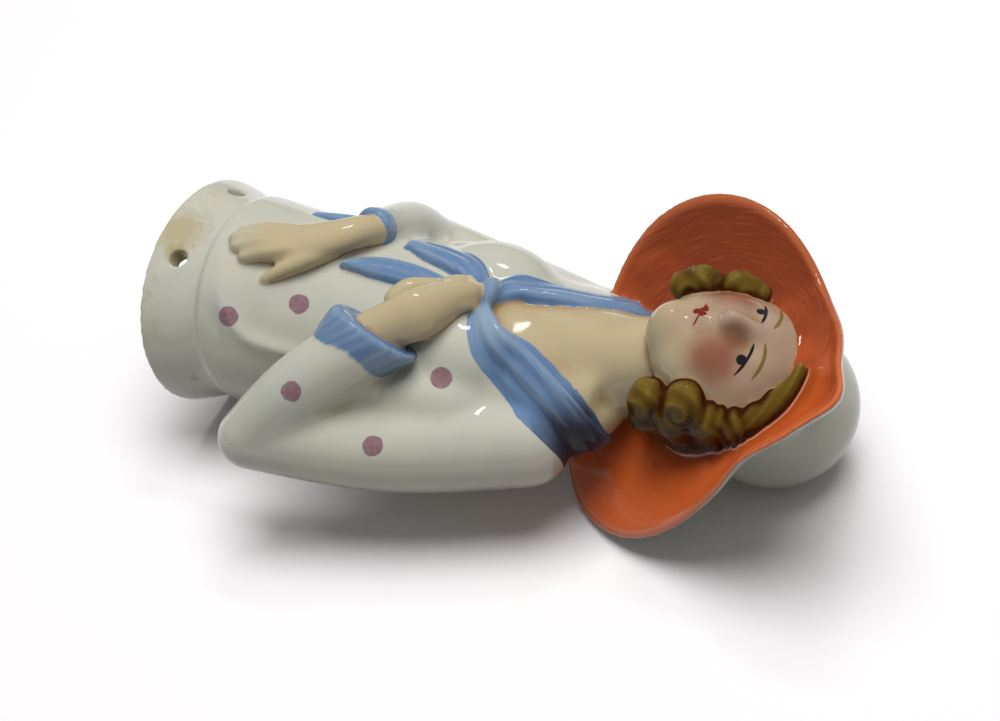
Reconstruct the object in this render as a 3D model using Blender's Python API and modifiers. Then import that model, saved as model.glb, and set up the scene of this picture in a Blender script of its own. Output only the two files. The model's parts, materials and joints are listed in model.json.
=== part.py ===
"""A glazed porcelain half doll for a pincushion, slip cast in one piece.

She lies on her back: +X runs from the open base to the hat, +Z is up.
The figure is modelled standing, in millimetres, with her left at +X,
her back at +Y and her head at +Z, and is laid down at the end.
"""
import bpy
import bmesh
import numpy as np
from math import cos, pi, radians, sin
from mathutils import Matrix, Vector
from mathutils.bvhtree import BVHTree

MM = 0.001

# Main sizes, which the other sizes and places follow
TORSO_HEIGHT = 70.0
TORSO_WIDTH = 31.0
TORSO_DEPTH = 25.0
HEAD_LENGTH = 25.0
HAT_WIDTH = 49.5
WALL = 3.0

# Base flange and its sew holes
RIM_WIDTH = TORSO_WIDTH * 1.2645
RIM_DEPTH = TORSO_DEPTH * 1.304
FLANGE_WIDTH = TORSO_WIDTH * 1.0903
FLANGE_DEPTH = TORSO_DEPTH * 1.144
FLANGE_HEIGHT = TORSO_HEIGHT * 0.1486
BASE_TILT = 8.9
HOLE_DIAMETER = 2.8
HOLE_HEIGHT = 4.4
HOLE_ANGLE = 28.5

# Bodice, as widths and depths at named heights
HEM_WIDTH = TORSO_WIDTH * 1.1097
HEM_DEPTH = TORSO_DEPTH * 1.256
HEM_ROUND = 1.3
HIP_SWAY = 1.4
HIP_HEIGHT = TORSO_HEIGHT * 0.2429
HIP_WIDTH = TORSO_WIDTH * 1.071
HIP_DEPTH = TORSO_DEPTH * 1.176
WAIST_HEIGHT = TORSO_HEIGHT * 0.4286
WAIST_WIDTH = TORSO_WIDTH * 0.9806
WAIST_DEPTH = TORSO_DEPTH * 1.024
BUST_HEIGHT = TORSO_HEIGHT * 0.6571
CHEST_HEIGHT = TORSO_HEIGHT * 0.8143
CHEST_DEPTH = TORSO_DEPTH * 0.84
SHOULDER_HEIGHT = TORSO_HEIGHT * 0.9286
SHOULDER_DEPTH = TORSO_DEPTH * 0.64
BREAST_RADIUS = 8.6
BREAST_SPREAD = 7.4
BREAST_HEIGHT = TORSO_HEIGHT * 0.6714
TRAPEZE_WIDTH = 14.0
CREASE_WIDTH = 1.8

# Neck and head: the head's centre above the torso's axis, and how it is turned
NECK_BASE_WIDTH = TORSO_WIDTH * 0.6774
NECK_WIDTH = 13.6
HEAD_WIDTH = HEAD_LENGTH * 0.824
HEAD_DEPTH = HEAD_LENGTH * 0.88
HEAD_FORWARD = 5.3
HEAD_SIDE = -0.7
HEAD_HEIGHT = TORSO_HEIGHT + HEAD_LENGTH * 0.708
HEAD_TURN = 7.9
HEAD_BACK = 16.4
HEAD_LEAN = -3.6
NOSE_RISE = 1.9
LIP_RISE = 0.55
CHIN_RISE = 0.9
BROW_RISE = 0.35
EYE_DEPTH = 0.7
CHEEK_RISE = 0.55
BAND_WIDTH = 5.6

# Hat: a wavy brim round the face and a round crown behind it
HAT_FORWARD = 3.9
HAT_SIDE = -1.6
HAT_HEIGHT = HEAD_HEIGHT - HEAD_LENGTH * 0.12
HAT_TURN = 30.6
HAT_TILT = 28.1
HAT_ROLL = 20.6
BRIM_RADIUS = HAT_WIDTH / 2
BRIM_THICKNESS = 1.7
BRIM_DROP = 2.4
BRIM_LOBE = 3.4
BRIM_FLARE = 1.4
BRIM_WAVE = 4.6
BRIM_RIPPLE = 1.1
BRIM_DIP = 1.1
OPENING_WIDTH = HEAD_LENGTH * 0.976
OPENING_HEIGHT = HEAD_LENGTH * 1.2
CROWN_RADIUS = HEAD_LENGTH * 0.504
CROWN_REACH = 12.5
CROWN_LIFT = 1.8
CROWN_SIDE = 0.9

# Arms, from shoulder to elbow to cuff, and the hands
UPPER_ARM_WIDTH = 12.8
ELBOW_WIDTH = 9.6
SLEEVE_WIDTH = 10.8
RIGHT_SLEEVE_WIDTH = 5.8
SHOULDER_RADIUS = 6.4
CUFF_WIDTH = 15.0
CUFF_THICKNESS = 10.6
RIGHT_CUFF_WIDTH = 6.8
PALM_WIDTH = 7.0
LEFT_PALM_WIDTH = 7.6
FINGER_WIDTH = 2.1
THUMB_WIDTH = 3.4

# Scarf: two straps round the neck to a knot, and two tails
KNOT_HEIGHT = TORSO_HEIGHT * 0.717
KNOT_SIZE = 6.0
STRAP_WIDTH = 12.0
FAR_STRAP_WIDTH = 8.0
STRAP_THICKNESS = 2.6
TAIL_WIDTH = 4.6
FOLD_DEPTH = 0.26

# How she lies, and how fine her surface is
LYING_PITCH = 0.5
LYING_ROLL = 3.0
CLAY_VOXEL = 0.6
MESH_VOXEL = 0.6
MESH_TRIANGLES = 10600
BODY_ROUNDS = 17
HAT_ROUNDS = 5
HAIR_ROUNDS = 5
PLAIN_ROUNDS = 3

BISQUE = (0.86, 0.85, 0.82, 1.0)


def body_sections():
    """Rows of height, half width, depth in front and behind, shift, tilt and sway."""
    tilt = radians(BASE_TILT)
    hem_height = FLANGE_HEIGHT * cos(tilt)
    hem_shift = FLANGE_HEIGHT * sin(tilt)
    neck_depth = NECK_BASE_WIDTH * 0.3
    hip = [HIP_DEPTH * 0.51, HIP_DEPTH * 0.49, hem_shift * 0.8, tilt * 0.6, HIP_SWAY]
    waist = [WAIST_DEPTH * 0.53, WAIST_DEPTH * 0.47, hem_shift * 0.3, 0, HIP_SWAY / 2]
    return np.array([
        [hem_height, HEM_WIDTH / 2, HEM_DEPTH * 0.5, HEM_DEPTH * 0.5, hem_shift, tilt, HIP_SWAY],
        [HIP_HEIGHT, HIP_WIDTH / 2, *hip],
        [WAIST_HEIGHT, WAIST_WIDTH / 2, *waist],
        [BUST_HEIGHT, TORSO_WIDTH / 2, TORSO_DEPTH * 0.48, TORSO_DEPTH * 0.52, 0, 0, 0],
        [CHEST_HEIGHT, TORSO_WIDTH / 2, CHEST_DEPTH * 0.46, CHEST_DEPTH * 0.54, 0, 0, 0],
        [SHOULDER_HEIGHT, TORSO_WIDTH / 2, SHOULDER_DEPTH * 0.46, SHOULDER_DEPTH * 0.54, 0, 0, 0],
        [TORSO_HEIGHT, NECK_BASE_WIDTH / 2, neck_depth, neck_depth, 1.0, 0, 0],
    ])


def curve_through(points, count):
    """Catmull-Rom curve through the rows of points."""
    p = np.asarray(points, float)
    last = len(p) - 1
    t = np.linspace(0, last, count)
    i = np.minimum(t.astype(int), last - 1)
    f = (t - i)[:, None]
    a, b, c, d = (p[np.clip(i + k, 0, last)] for k in (-1, 0, 1, 2))
    return b + f / 2 * (c - a + f * (2 * a - 5 * b + 4 * c - d + f * (3 * (b - c) + d - a)))


def unit(v):
    return v / np.maximum(np.linalg.norm(v, axis=-1, keepdims=True), 1e-9)


def body_at(height):
    """The body's section values at a height, by the same smooth curve."""
    rows = curve_through(body_sections(), 80)
    return [np.interp(height, rows[:, 0], rows[:, k]) for k in range(1, 7)]


def on_body(angle, share, lift):
    """Point on the bodice at a share of its height, turned to her left, lifted out."""
    height = share * TORSO_HEIGHT
    half, front, back, shift, _, sway = body_at(height)
    a = radians(angle)
    depth = front if cos(a) > 0 else back
    reach = 1 / np.hypot(sin(a) / half, cos(a) / depth)
    return np.array([sway + (reach + lift) * sin(a), -shift - (reach + lift) * cos(a), height])


def at(side, forward, up):
    """Point given as shares of the torso's width, depth and height."""
    return np.array([side * TORSO_WIDTH, -forward * TORSO_DEPTH, up * TORSO_HEIGHT])


def mesh_object(name, vertices, faces):
    mesh = bpy.data.meshes.new(name)
    mesh.from_pydata([tuple(v) for v in vertices], [], [tuple(f) for f in faces])
    mesh.validate()
    return bpy.data.objects.new(name, mesh)


def loft(name, rings):
    """Closed skin over a stack of rings, each a closed loop of points."""
    rings = np.asarray(rings, float)
    count, around, _ = rings.shape
    first, last = count * around, count * around + 1
    vertices = np.vstack([rings.reshape(-1, 3), rings[0].mean(0), rings[-1].mean(0)])
    faces = []
    for r in range(count - 1):
        for k in range(around):
            n = (k + 1) % around
            faces.append((r * around + k, r * around + n, (r + 1) * around + n, (r + 1) * around + k))
    for k in range(around):
        n = (k + 1) % around
        faces.append((first, n, k))
        faces.append((last, (count - 1) * around + k, (count - 1) * around + n))
    return mesh_object(name, vertices, faces)


def body_ring(half, front, back, shift, tilt, sway, height, around=48):
    a = np.linspace(0, 2 * pi, around, endpoint=False)
    forward = np.where(np.cos(a) > 0, front, back) * np.cos(a)
    return np.column_stack([sway + half * np.sin(a),
                            -shift - forward * cos(tilt),
                            height - forward * sin(tilt)])


def round_ends(path, radii):
    """Extend a path by a half ball at each end."""
    turn = np.linspace(0.12, 1, 5)[:-1] * pi / 2
    start, end = unit(path[0] - path[1]), unit(path[-1] - path[-2])
    head = path[0] + np.outer(np.cos(turn), start) * radii[0]
    tail = path[-1] + np.outer(np.cos(turn[::-1]), end) * radii[-1]
    return (np.vstack([head, path, tail]),
            np.concatenate([np.sin(turn) * radii[0], radii, np.sin(turn[::-1]) * radii[-1]]))


def tube(name, points, widths, samples=16):
    """Round limb, finger or curl along a smooth path, with rounded ends."""
    rows = curve_through(np.column_stack([points, np.asarray(widths) / 2]), samples)
    path, radii = round_ends(rows[:, :3], rows[:, 3])
    data = bpy.data.curves.new(name, "CURVE")
    data.dimensions = "3D"
    data.bevel_depth = 1.0
    data.bevel_resolution = 4
    data.use_fill_caps = True
    spline = data.splines.new("POLY")
    spline.points.add(len(path) - 1)
    for point, place, radius in zip(spline.points, path, radii):
        point.co = (*place, 1)
        point.radius = radius
    curve = bpy.data.objects.new(name, data)
    bpy.context.scene.collection.objects.link(curve)
    bpy.context.view_layer.update()
    graph = bpy.context.evaluated_depsgraph_get()
    mesh = bpy.data.meshes.new_from_object(curve.evaluated_get(graph))
    skin = bmesh.new()
    skin.from_mesh(mesh)
    bmesh.ops.remove_doubles(skin, verts=skin.verts, dist=0.0001)
    bmesh.ops.recalc_face_normals(skin, faces=skin.faces)
    skin.to_mesh(mesh)
    skin.free()
    bpy.data.objects.remove(curve)
    return bpy.data.objects.new(name, mesh)


def ball(name, centre, radii, turn=None):
    """Ellipsoid about a centre, turned by a rotation matrix if one is given."""
    skin = bmesh.new()
    bmesh.ops.create_uvsphere(skin, u_segments=28, v_segments=18, radius=1)
    matrix = Matrix.Translation(centre) @ (turn or Matrix()).to_4x4()
    bmesh.ops.transform(skin, matrix=matrix @ Matrix.Diagonal((*radii, 1)), verts=skin.verts)
    mesh = bpy.data.meshes.new(name)
    skin.to_mesh(mesh)
    skin.free()
    return bpy.data.objects.new(name, mesh)


def sweep(name, points, up, widths, heights, samples=24, folds=0.0):
    """Oval section carried along a path, its ends rounded, with lengthwise folds."""
    ups = np.broadcast_to(np.asarray(up, float), (len(points), 3))
    rows = curve_through(np.column_stack([points, np.asarray(widths) / 2, np.asarray(heights) / 2, ups]),
                         samples)
    path, wide, tall = rows[:, :3], rows[:, 3], rows[:, 4]
    along = unit(np.gradient(path, axis=0))
    side = unit(np.cross(along, rows[:, 5:8]))
    top = np.cross(side, along)
    turn = np.linspace(0.1, 1, 5)[:-1] * pi / 2
    grow, reach = np.sin(turn), np.cos(turn)
    first, last = min(wide[0], tall[0]), min(wide[-1], tall[-1])
    path = np.vstack([path[0] - np.outer(reach * first, along[0]), path,
                      path[-1] + np.outer(reach[::-1] * last, along[-1])])
    wide = np.concatenate([grow * wide[0], wide, grow[::-1] * wide[-1]])
    tall = np.concatenate([grow * tall[0], tall, grow[::-1] * tall[-1]])
    side = np.vstack([np.repeat(side[:1], len(turn), 0), side, np.repeat(side[-1:], len(turn), 0)])
    top = np.vstack([np.repeat(top[:1], len(turn), 0), top, np.repeat(top[-1:], len(turn), 0)])
    a = np.linspace(0, 2 * pi, 28, endpoint=False)
    share = np.linspace(0, 1, len(path))[:, None]
    fold = 1 + folds * np.cos(3.2 * pi * np.cos(a)[None] + 2.5 * share) * np.clip(share * 5, 0, 1)
    rise = np.sign(np.sin(a)) * np.abs(np.sin(a)) ** 0.85
    rings = (path[:, None] + side[:, None] * (wide[:, None] * np.cos(a)[None])[..., None]
             + top[:, None] * (tall[:, None] * rise[None] * fold)[..., None])
    return loft(name, rings)


def head_matrix():
    """From the head's own axes (her left, her back, up) to the standing figure."""
    turn = Matrix.Rotation(radians(HEAD_TURN), 3, "Z")
    back = Matrix.Rotation(radians(-HEAD_BACK), 3, "X")
    lean = Matrix.Rotation(radians(HEAD_LEAN), 3, "Y")
    return turn @ back @ lean


def in_head(side, forward, up):
    """Point given in the head's own axes, as shares of its half sizes."""
    local = Vector((side * HEAD_WIDTH / 2, -forward * HEAD_DEPTH / 2, up * HEAD_LENGTH / 2))
    return head_matrix() @ local + Vector((HEAD_SIDE, -HEAD_FORWARD, HEAD_HEIGHT))


def hat_axes():
    """The hat's centre, its side axis, its up axis and the way it opens."""
    turn, tilt, roll = radians(HAT_TURN), radians(HAT_TILT), radians(HAT_ROLL)
    opening = np.array([sin(turn) * cos(tilt), -cos(turn) * cos(tilt), -sin(tilt)])
    side = np.array([cos(turn), sin(turn), 0])
    up = np.cross(opening, side)
    centre = np.array([HAT_SIDE, -HAT_FORWARD, HAT_HEIGHT])
    return centre, cos(roll) * side + sin(roll) * up, cos(roll) * up - sin(roll) * side, opening


def make_flange():
    tilt = radians(BASE_TILT)
    rows = curve_through([[-4, RIM_WIDTH / 2, RIM_DEPTH / 2],
                          [0, RIM_WIDTH / 2, RIM_DEPTH / 2],
                          [FLANGE_HEIGHT * 0.3, RIM_WIDTH / 2 - 0.9, RIM_DEPTH / 2 - 0.7],
                          [FLANGE_HEIGHT * 0.78, FLANGE_WIDTH / 2, FLANGE_DEPTH / 2],
                          [FLANGE_HEIGHT * 1.3, FLANGE_WIDTH / 2, FLANGE_DEPTH / 2]], 18)
    return loft("flange", [body_ring(half, depth, depth, up * sin(tilt), tilt,
                                     HIP_SWAY * max(0, up) / FLANGE_HEIGHT, up * cos(tilt))
                           for up, half, depth in rows])


def make_torso():
    rows = curve_through(body_sections(), 44)
    turn = np.linspace(0.1, 0.9, 5) * pi / 2
    hem = np.repeat(rows[:1], len(turn), axis=0)
    hem[:, 0] -= HEM_ROUND * (np.cos(turn) - cos(turn[-1]))
    hem[:, 1:4] -= (HEM_ROUND * (1 - np.sin(turn)))[:, None]
    yield loft("torso", [body_ring(*row[1:], row[0]) for row in np.vstack([hem, rows[1:]])])
    crease = [on_body(24, 0.15, -0.4), on_body(45, 0.169, -0.3), on_body(57.4, 0.2, -0.1),
              on_body(67.5, 0.257, 0), on_body(71.4, 0.394, -0.2), on_body(72, 0.471, -0.8)]
    yield tube("crease", crease, np.array([0.55, 0.85, 0.95, 1.0, 0.95, 0.55]) * CREASE_WIDTH, 30)


def make_neck():
    chin = np.array(in_head(-0.029, -0.036, -0.28))
    start = at(-0.0129, -0.008, 0.8571)
    middle = start * 0.42 + chin * 0.58
    widths = [NECK_BASE_WIDTH * 0.98, (NECK_BASE_WIDTH + NECK_WIDTH) * 0.48, NECK_WIDTH * 1.04, NECK_WIDTH]
    return tube("neck", [start, (start + middle) / 2, middle, chin], widths)


def make_chest():
    for side in (-1, 1):
        _, front, _, shift, _, _ = body_at(BREAST_HEIGHT)
        place = (side * BREAST_SPREAD, BREAST_RADIUS * 0.93 - shift - front, BREAST_HEIGHT)
        yield ball("breast", place, (BREAST_RADIUS, BREAST_RADIUS, BREAST_RADIUS * 1.28))
        place = (side * TRAPEZE_WIDTH / 2, 1.2, SHOULDER_HEIGHT + 1.0)
        yield ball("trapeze", place, (TRAPEZE_WIDTH * 0.61, SHOULDER_DEPTH * 0.36, TRAPEZE_WIDTH * 0.585))
        yield ball("shoulder", at(0.0129, -0.096, 0.88) + np.array([side * TORSO_WIDTH * 0.432, 0, 0]),
                   (SHOULDER_RADIUS,) * 3)


def make_head():
    """A ball pushed out to the softened greatest of four ovals, then dabbed into features."""
    skin = bmesh.new()
    bmesh.ops.create_uvsphere(skin, u_segments=72, v_segments=56, radius=1)
    ray = np.array([vert.co[:] for vert in skin.verts]) * [1, -1, 1]
    reach = 0
    for centre, radii in (((0, -0.082, 0.192), (1.01, 1.018, 0.848)),
                          ((0, 0.182, -0.08), (0.874, 0.8, 0.784)),
                          ((0, 0.309, -0.496), (0.602, 0.509, 0.496)), ((0, 0.455, -0.736),
                                                                        (0.35, 0.336, 0.28))):
        c, r = np.array(centre), np.array(radii)
        k, m, n = ((ray / r) ** 2).sum(-1), (ray * c / r ** 2).sum(-1), ((c / r) ** 2).sum() - 1
        hit = (m + np.sqrt(np.maximum(m * m - k * n, 0))) / k
        reach = reach + np.where(m * m > k * n, np.maximum(hit, 0.01), 0.01) ** 14
    half = np.array([HEAD_WIDTH, HEAD_DEPTH, HEAD_LENGTH]) / 2
    points = ray * (reach ** (1 / 14))[:, None] * half
    outward = unit(ray * half)
    dabs = [(0, 0.1, 0.1, NOSE_RISE * 0.42), (0, -0.056, 0.1, NOSE_RISE * 0.68),
            (0, -0.192, 0.1, NOSE_RISE),
            (0, -0.472, 0.09, LIP_RISE), (0, -0.56, 0.1, LIP_RISE), (0, -0.672, 0.1, -LIP_RISE),
            (0, -0.88, 0.19, CHIN_RISE), (0, 0.272, 0.13, BROW_RISE)]
    for side in (-1, 1):
        dabs += [(side * 0.447, 0.032, 0.146, -EYE_DEPTH), (side * 0.437, 0.152, 0.087, BROW_RISE),
                 (side * 0.408, 0.336, 0.155, BROW_RISE), (side * 0.112, -0.232, 0.058, NOSE_RISE * 0.32),
                 (side * 0.485, -0.272, 0.214, CHEEK_RISE), (side * 0.233, 0.048, 0.087, -EYE_DEPTH * 0.6)]
    front = np.clip(points[:, 1] / 4, 0, 1)
    rise = sum(height * front * np.exp(-((points[:, 0] - x * half[0]) ** 2 + (points[:,
                                                                                     2] - u * half[2]) ** 2)
                                       / (2 * (wide * half[0]) ** 2)) for x, u, wide, height in dabs)
    points = points + outward * rise[:, None]
    for vert, (x, forward, up) in zip(skin.verts, points):
        vert.co = (x, -forward, up)
    matrix = Matrix.Translation((HEAD_SIDE, -HEAD_FORWARD, HEAD_HEIGHT)) @ head_matrix().to_4x4()
    bmesh.ops.transform(skin, matrix=matrix, verts=skin.verts)
    mesh = bpy.data.meshes.new("head")
    skin.to_mesh(mesh)
    skin.free()
    return bpy.data.objects.new("head", mesh)


def make_hair():
    """Curls on both sides, as shares of the head's half sizes, and a band at the brow."""
    near = [(0.913, 0.055, -0.816, 0.291), (0.961, -0.291, -0.784, 0.35), (0.932, 0.291, -0.392, 0.33),
            (0.971, -0.055, -0.432, 0.408), (0.99, -0.327, -0.368, 0.408), (0.961, 0.164, -0.064, 0.34),
            (0.981, -0.236, 0.032, 0.427), (0.922, 0.218, 0.224, 0.301), (0.913, -0.218, 0.368, 0.388)]
    far = [(-0.835, 0.418, -0.848, 0.223), (-0.903, 0.545, -0.688, 0.233), (-0.913, 0.509, -0.528, 0.214),
           (-0.922, 0.655, -0.256, 0.233), (-0.922, 0.564, -0.064, 0.252), (-0.971, 0.127, -0.64, 0.35),
           (-1.01, 0.127, -0.16, 0.369), (-0.951, 0.236, 0.288, 0.272)]
    turn = head_matrix()
    for x, forward, up, share in near + far:
        radius = share * HEAD_WIDTH / 2
        yield ball("curl", in_head(x, forward, up), (radius, radius, radius * 0.92), turn)
    band = [in_head(0.961, 0.145, 0.304), in_head(0.903, 0.418, 0.432), in_head(0.757, 0.673, 0.56),
            in_head(0.544, 0.845, 0.64), in_head(0.291, 0.964, 0.688)]
    yield tube("band", [tuple(p) for p in band], np.array([1.0, 0.79, 0.57, 0.43, 0.25]) * BAND_WIDTH, 24)
    far_band = [in_head(-0.961, 0.145, 0.304), in_head(-0.903, 0.418, 0.432)]
    yield tube("band", [tuple(p) for p in far_band], [BAND_WIDTH * 0.75, BAND_WIDTH * 0.21], 12)
    for side in (-1, 1):
        back = [in_head(side * 0.97, -0.18, 0.32), in_head(side * 0.95, -0.45, -0.16),
                in_head(side * 0.83, -0.59, -0.72)]
        yield tube("nape", [tuple(p) for p in back], np.array([0.68, 0.78, 0.58]) * HEAD_WIDTH / 2, 16)
    yield ball("nape", in_head(0, -0.545, -0.32),
               (HEAD_WIDTH * 0.466, HEAD_DEPTH * 0.295, HEAD_LENGTH * 0.344), turn)


def brim_edge(theta):
    """The brim's edge: radius and height above the opening, by the angle."""
    radius = BRIM_RADIUS - BRIM_DROP * np.sin(theta) + BRIM_LOBE * np.cos(3 * theta - radians(165))
    wave = BRIM_WAVE * np.cos(2 * theta - radians(68))
    height = BRIM_FLARE + wave + BRIM_RIPPLE * np.cos(3 * theta - radians(154))
    return radius, height


def make_brim(around=80):
    """Rises with the share to the power 1.6 and dips before its rolled edge on top."""
    centre, side, up, opening = hat_axes()
    theta = np.linspace(0, 2 * pi, around, endpoint=False)
    radius, height = brim_edge(theta)
    inner = 1 / np.hypot(np.cos(theta) / (OPENING_WIDTH / 2), np.sin(theta) / (OPENING_HEIGHT / 2)) - 2.5
    out = np.concatenate([np.linspace(0, 0.93, 9), [0.975, 1.0]])
    half = np.concatenate([np.ones(9), [0.8, 0.4]]) * BRIM_THICKNESS / 2
    rings = []
    for s, lift in list(zip(out, half)) + list(zip(out[::-1], -half[::-1])):
        r = inner + (radius - inner) * s
        dip = BRIM_DIP * np.clip(np.sin(theta) + 0.35, 0, 1.2) * s ** 2 * (1 - s) * 6.75
        h = height * s ** 1.6 - dip + lift
        rings.append(centre + np.outer(r * np.cos(theta), side) + np.outer(r * np.sin(theta), up)
                     + np.outer(h, opening))
    return loft("brim", rings[::-1])


def make_crown(around=44):
    """An oval funnel from the opening to a half ball behind it."""
    centre, side, up, opening = hat_axes()
    theta = np.linspace(0, 2 * pi, around, endpoint=False)
    rings = []
    for s in np.linspace(0, 1, 20):
        low, dome = min(s * 2, 1), max(s - 0.5, 0) * pi * 0.98
        reach = CROWN_REACH * low + CROWN_RADIUS * sin(dome) - BRIM_THICKNESS * 0.3
        wide = (OPENING_WIDTH / 2 + (CROWN_RADIUS - OPENING_WIDTH / 2) * low) * cos(dome)
        tall = (OPENING_HEIGHT / 2 + (CROWN_RADIUS - OPENING_HEIGHT / 2) * low ** 0.7) * cos(dome)
        rings.append(centre + (up * CROWN_LIFT + side * CROWN_SIDE) * s - opening * reach
                     + np.outer(wide * np.cos(theta), side) + np.outer(tall * np.sin(theta), up))
    return loft("crown", rings)


def make_left_arm():
    shoulder, elbow, root = at(0.4742, -0.096, 0.8786), at(0.9226, 0.016, 0.3314), at(0.5774, 0.444, 0.52)
    middle = (shoulder + elbow) / 2 + np.array([0.6, 1.2, 0])
    yield tube("upper_arm", [shoulder, middle, elbow], [UPPER_ARM_WIDTH, UPPER_ARM_WIDTH, ELBOW_WIDTH])
    middle = (elbow + root) / 2 + np.array([0.4, -0.8, -0.4])
    yield tube("sleeve", [elbow, middle, root], [ELBOW_WIDTH, SLEEVE_WIDTH * 0.98, SLEEVE_WIDTH])
    yield ball("web", at(0.471, 0.096, 0.6357), np.array([1, 0.875, 1.72]) * SHOULDER_RADIUS)
    yield ball("web", at(0.5935, 0.256, 0.5086), np.array([1, 1, 1.33]) * SHOULDER_RADIUS * 0.66)


def make_right_arm():
    shoulder, elbow, root = at(-0.4355, -0.096, 0.8786), at(-0.6903, -0.04, 0.42), at(-0.2387, 0.556,
                                                                                      0.4243)
    middle = (shoulder + elbow) / 2 + np.array([-0.6, 1.2, 0])
    yield tube("upper_arm", [shoulder, middle, elbow],
               [UPPER_ARM_WIDTH, UPPER_ARM_WIDTH * 0.97, ELBOW_WIDTH])
    middle = (elbow + root) / 2 + np.array([-1.0, -1.2, 0])
    widths = [ELBOW_WIDTH * 0.96, (ELBOW_WIDTH + RIGHT_SLEEVE_WIDTH) * 0.506, RIGHT_SLEEVE_WIDTH]
    yield tube("sleeve", [elbow, middle, root], widths)
    yield ball("web", at(-0.4516, 0.04, 0.6), np.array([0.78, 0.94, 2.03]) * SHOULDER_RADIUS)


def band(name, centres, firsts, seconds, around=40):
    """Closed band of rings, each spanned by two half axes."""
    a = np.linspace(0, 2 * pi, around, endpoint=False)[None, :, None]
    return loft(name, centres[:, None] + firsts[:, None] * np.cos(a) + seconds[:, None] * np.sin(a))


def make_left_cuff():
    long, deep, arm = unit(np.array([[0.03, 0.51, 0.86], [0.75, -0.50, 0.27], [-0.56, -0.46, 0.69]]))
    steps = np.array([-0.347, -0.307, -0.2, -0.08, 0.027, 0.08, 0.1, 0.08]) * CUFF_WIDTH
    longs = np.array([0.307, 0.393, 0.433, 0.473, 0.5, 0.5, 0.46, 0.36]) * CUFF_WIDTH
    deeps = np.array([0.358, 0.462, 0.49, 0.5, 0.5, 0.49, 0.434, 0.302]) * CUFF_THICKNESS
    centres = at(0.5032, 0.52, 0.56) + np.outer(steps, arm) - np.outer(longs - CUFF_WIDTH * 0.433,
                                                                       long) * 0.2
    yield band("cuff", centres, np.outer(longs, long), np.outer(deeps, deep))


def make_right_cuff():
    arm = unit(np.array([2.8, -1.5, -0.8]))
    long = np.array([0.35, 0.15, 1.0])
    long = unit(long - arm * (long @ arm))
    steps = np.array([-0.25, -0.22, -0.12, 0.03, 0.15, 0.21, 0.22]) * RIGHT_CUFF_WIDTH
    reach = np.array([0.32, 0.43, 0.47, 0.485, 0.5, 0.456, 0.353]) * RIGHT_CUFF_WIDTH
    yield band("cuff", at(-0.1839, 0.588, 0.4171) + np.outer(steps, arm), np.outer(reach, long),
               np.outer(reach * 0.95, np.cross(arm, long)))
    strip = [at(-0.2387, 0.536, 0.3943), on_body(-33, 0.35, 0.8), on_body(-31.5, 0.307, 0.5),
             on_body(-28.8, 0.26, 0.2)]
    yield sweep("cuff_point", strip, (-0.4, -0.9, 0), np.array([0.56, 0.44, 0.35, 0.12]) * RIGHT_CUFF_WIDTH,
                [2.0, 1.6, 1.2, 0.8])


def make_right_hand():
    back = [on_body(-19, 0.423, 1.8), on_body(-12, 0.409, 2.3), on_body(-3, 0.377, 2.2),
            on_body(5, 0.329, 2),
            on_body(10, 0.277, 1.5), on_body(14, 0.226, 0.7)]
    yield sweep("palm", back, (0.25, -1.0, -0.1), np.array([0.71, 0.74, 0.83, 0.97, 1.0, 0.8]) * PALM_WIDTH,
                [4.6, 4.6, 4.4, 4.0, 3.0, 1.8])
    for k, (turn, high) in enumerate(((10.2, 0.17), (15.0, 0.166), (19.6, 0.179), (23.8, 0.209))):
        start = (2.0 + k * 4.3, 0.271 + k * 0.008)
        points = [on_body(*start, 2.6), on_body((start[0] + turn) / 2, (start[1] + high) / 2, 2.1),
                  on_body(turn, high + 0.007, 0.7)]
        yield tube("finger", points, np.array([0.95, 1.0, 0.81]) * FINGER_WIDTH, 8)
    thumb = [on_body(4, 0.369, 1.2), on_body(16.5, 0.337, 1.7), on_body(26.5, 0.294, 1.2),
             on_body(34, 0.261, 0.2)]
    yield tube("thumb", thumb, np.array([1.0, 0.88, 0.71, 0.44]) * THUMB_WIDTH)


def make_left_hand():
    palm = [at(0.4968, 0.528, 0.5486), at(0.4129, 0.576, 0.6), at(0.3419, 0.604, 0.64),
            on_body(22, 0.674, 3.4),
            on_body(14, 0.697, 2.5), on_body(8.5, 0.709, 1.9)]
    yield sweep("palm", palm, (0.75, -0.50, 0.27),
                np.array([0.87, 0.95, 1.0, 0.74, 0.55, 0.37]) * LEFT_PALM_WIDTH,
                [5.8, 5.6, 5.2, 4.4, 3.6, 2.6])
    thumb = [on_body(30, 0.566, 3.6), on_body(22.5, 0.586, 3.2), on_body(15.5, 0.626, 2.5),
             on_body(7.5, 0.663, 2), on_body(1, 0.68, 1.9)]
    yield tube("thumb", thumb, np.array([1.0, 1.09, 0.79, 0.65, 0.5]) * THUMB_WIDTH)
    for k, lift in enumerate((3.5, 4.2, 4.2, 3.5)):
        points = [on_body(14.5 + k * 5.3, 0.657 + k * 0.006, lift),
                  on_body(10 + k * 5.1, 0.677 + k * 0.006, lift - 0.2),
                  on_body(5.0 + k * 4.8, 0.694 + k * 0.006, lift - 1.4)]
        yield tube("finger", points, np.array([1.14, 1.1, 0.86]) * FINGER_WIDTH, 10)


def seat(tree, path, lift):
    """Drop a path onto the body along lines to the middle of the torso."""
    seated = []
    for p in path:
        inward = Vector((-p[0], -p[1], -0.55 * max(0.0, p[2] - SHOULDER_HEIGHT * 0.892))).normalized()
        place, _, _, _ = tree.ray_cast(Vector(p) - inward * TORSO_WIDTH, inward)
        seated.append(np.array(place - inward * lift) if place else p)
    seated = np.array(seated)
    seated[1:-1] = (seated[:-2] + 2 * seated[1:-1] + seated[2:]) / 4
    return seated


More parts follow.
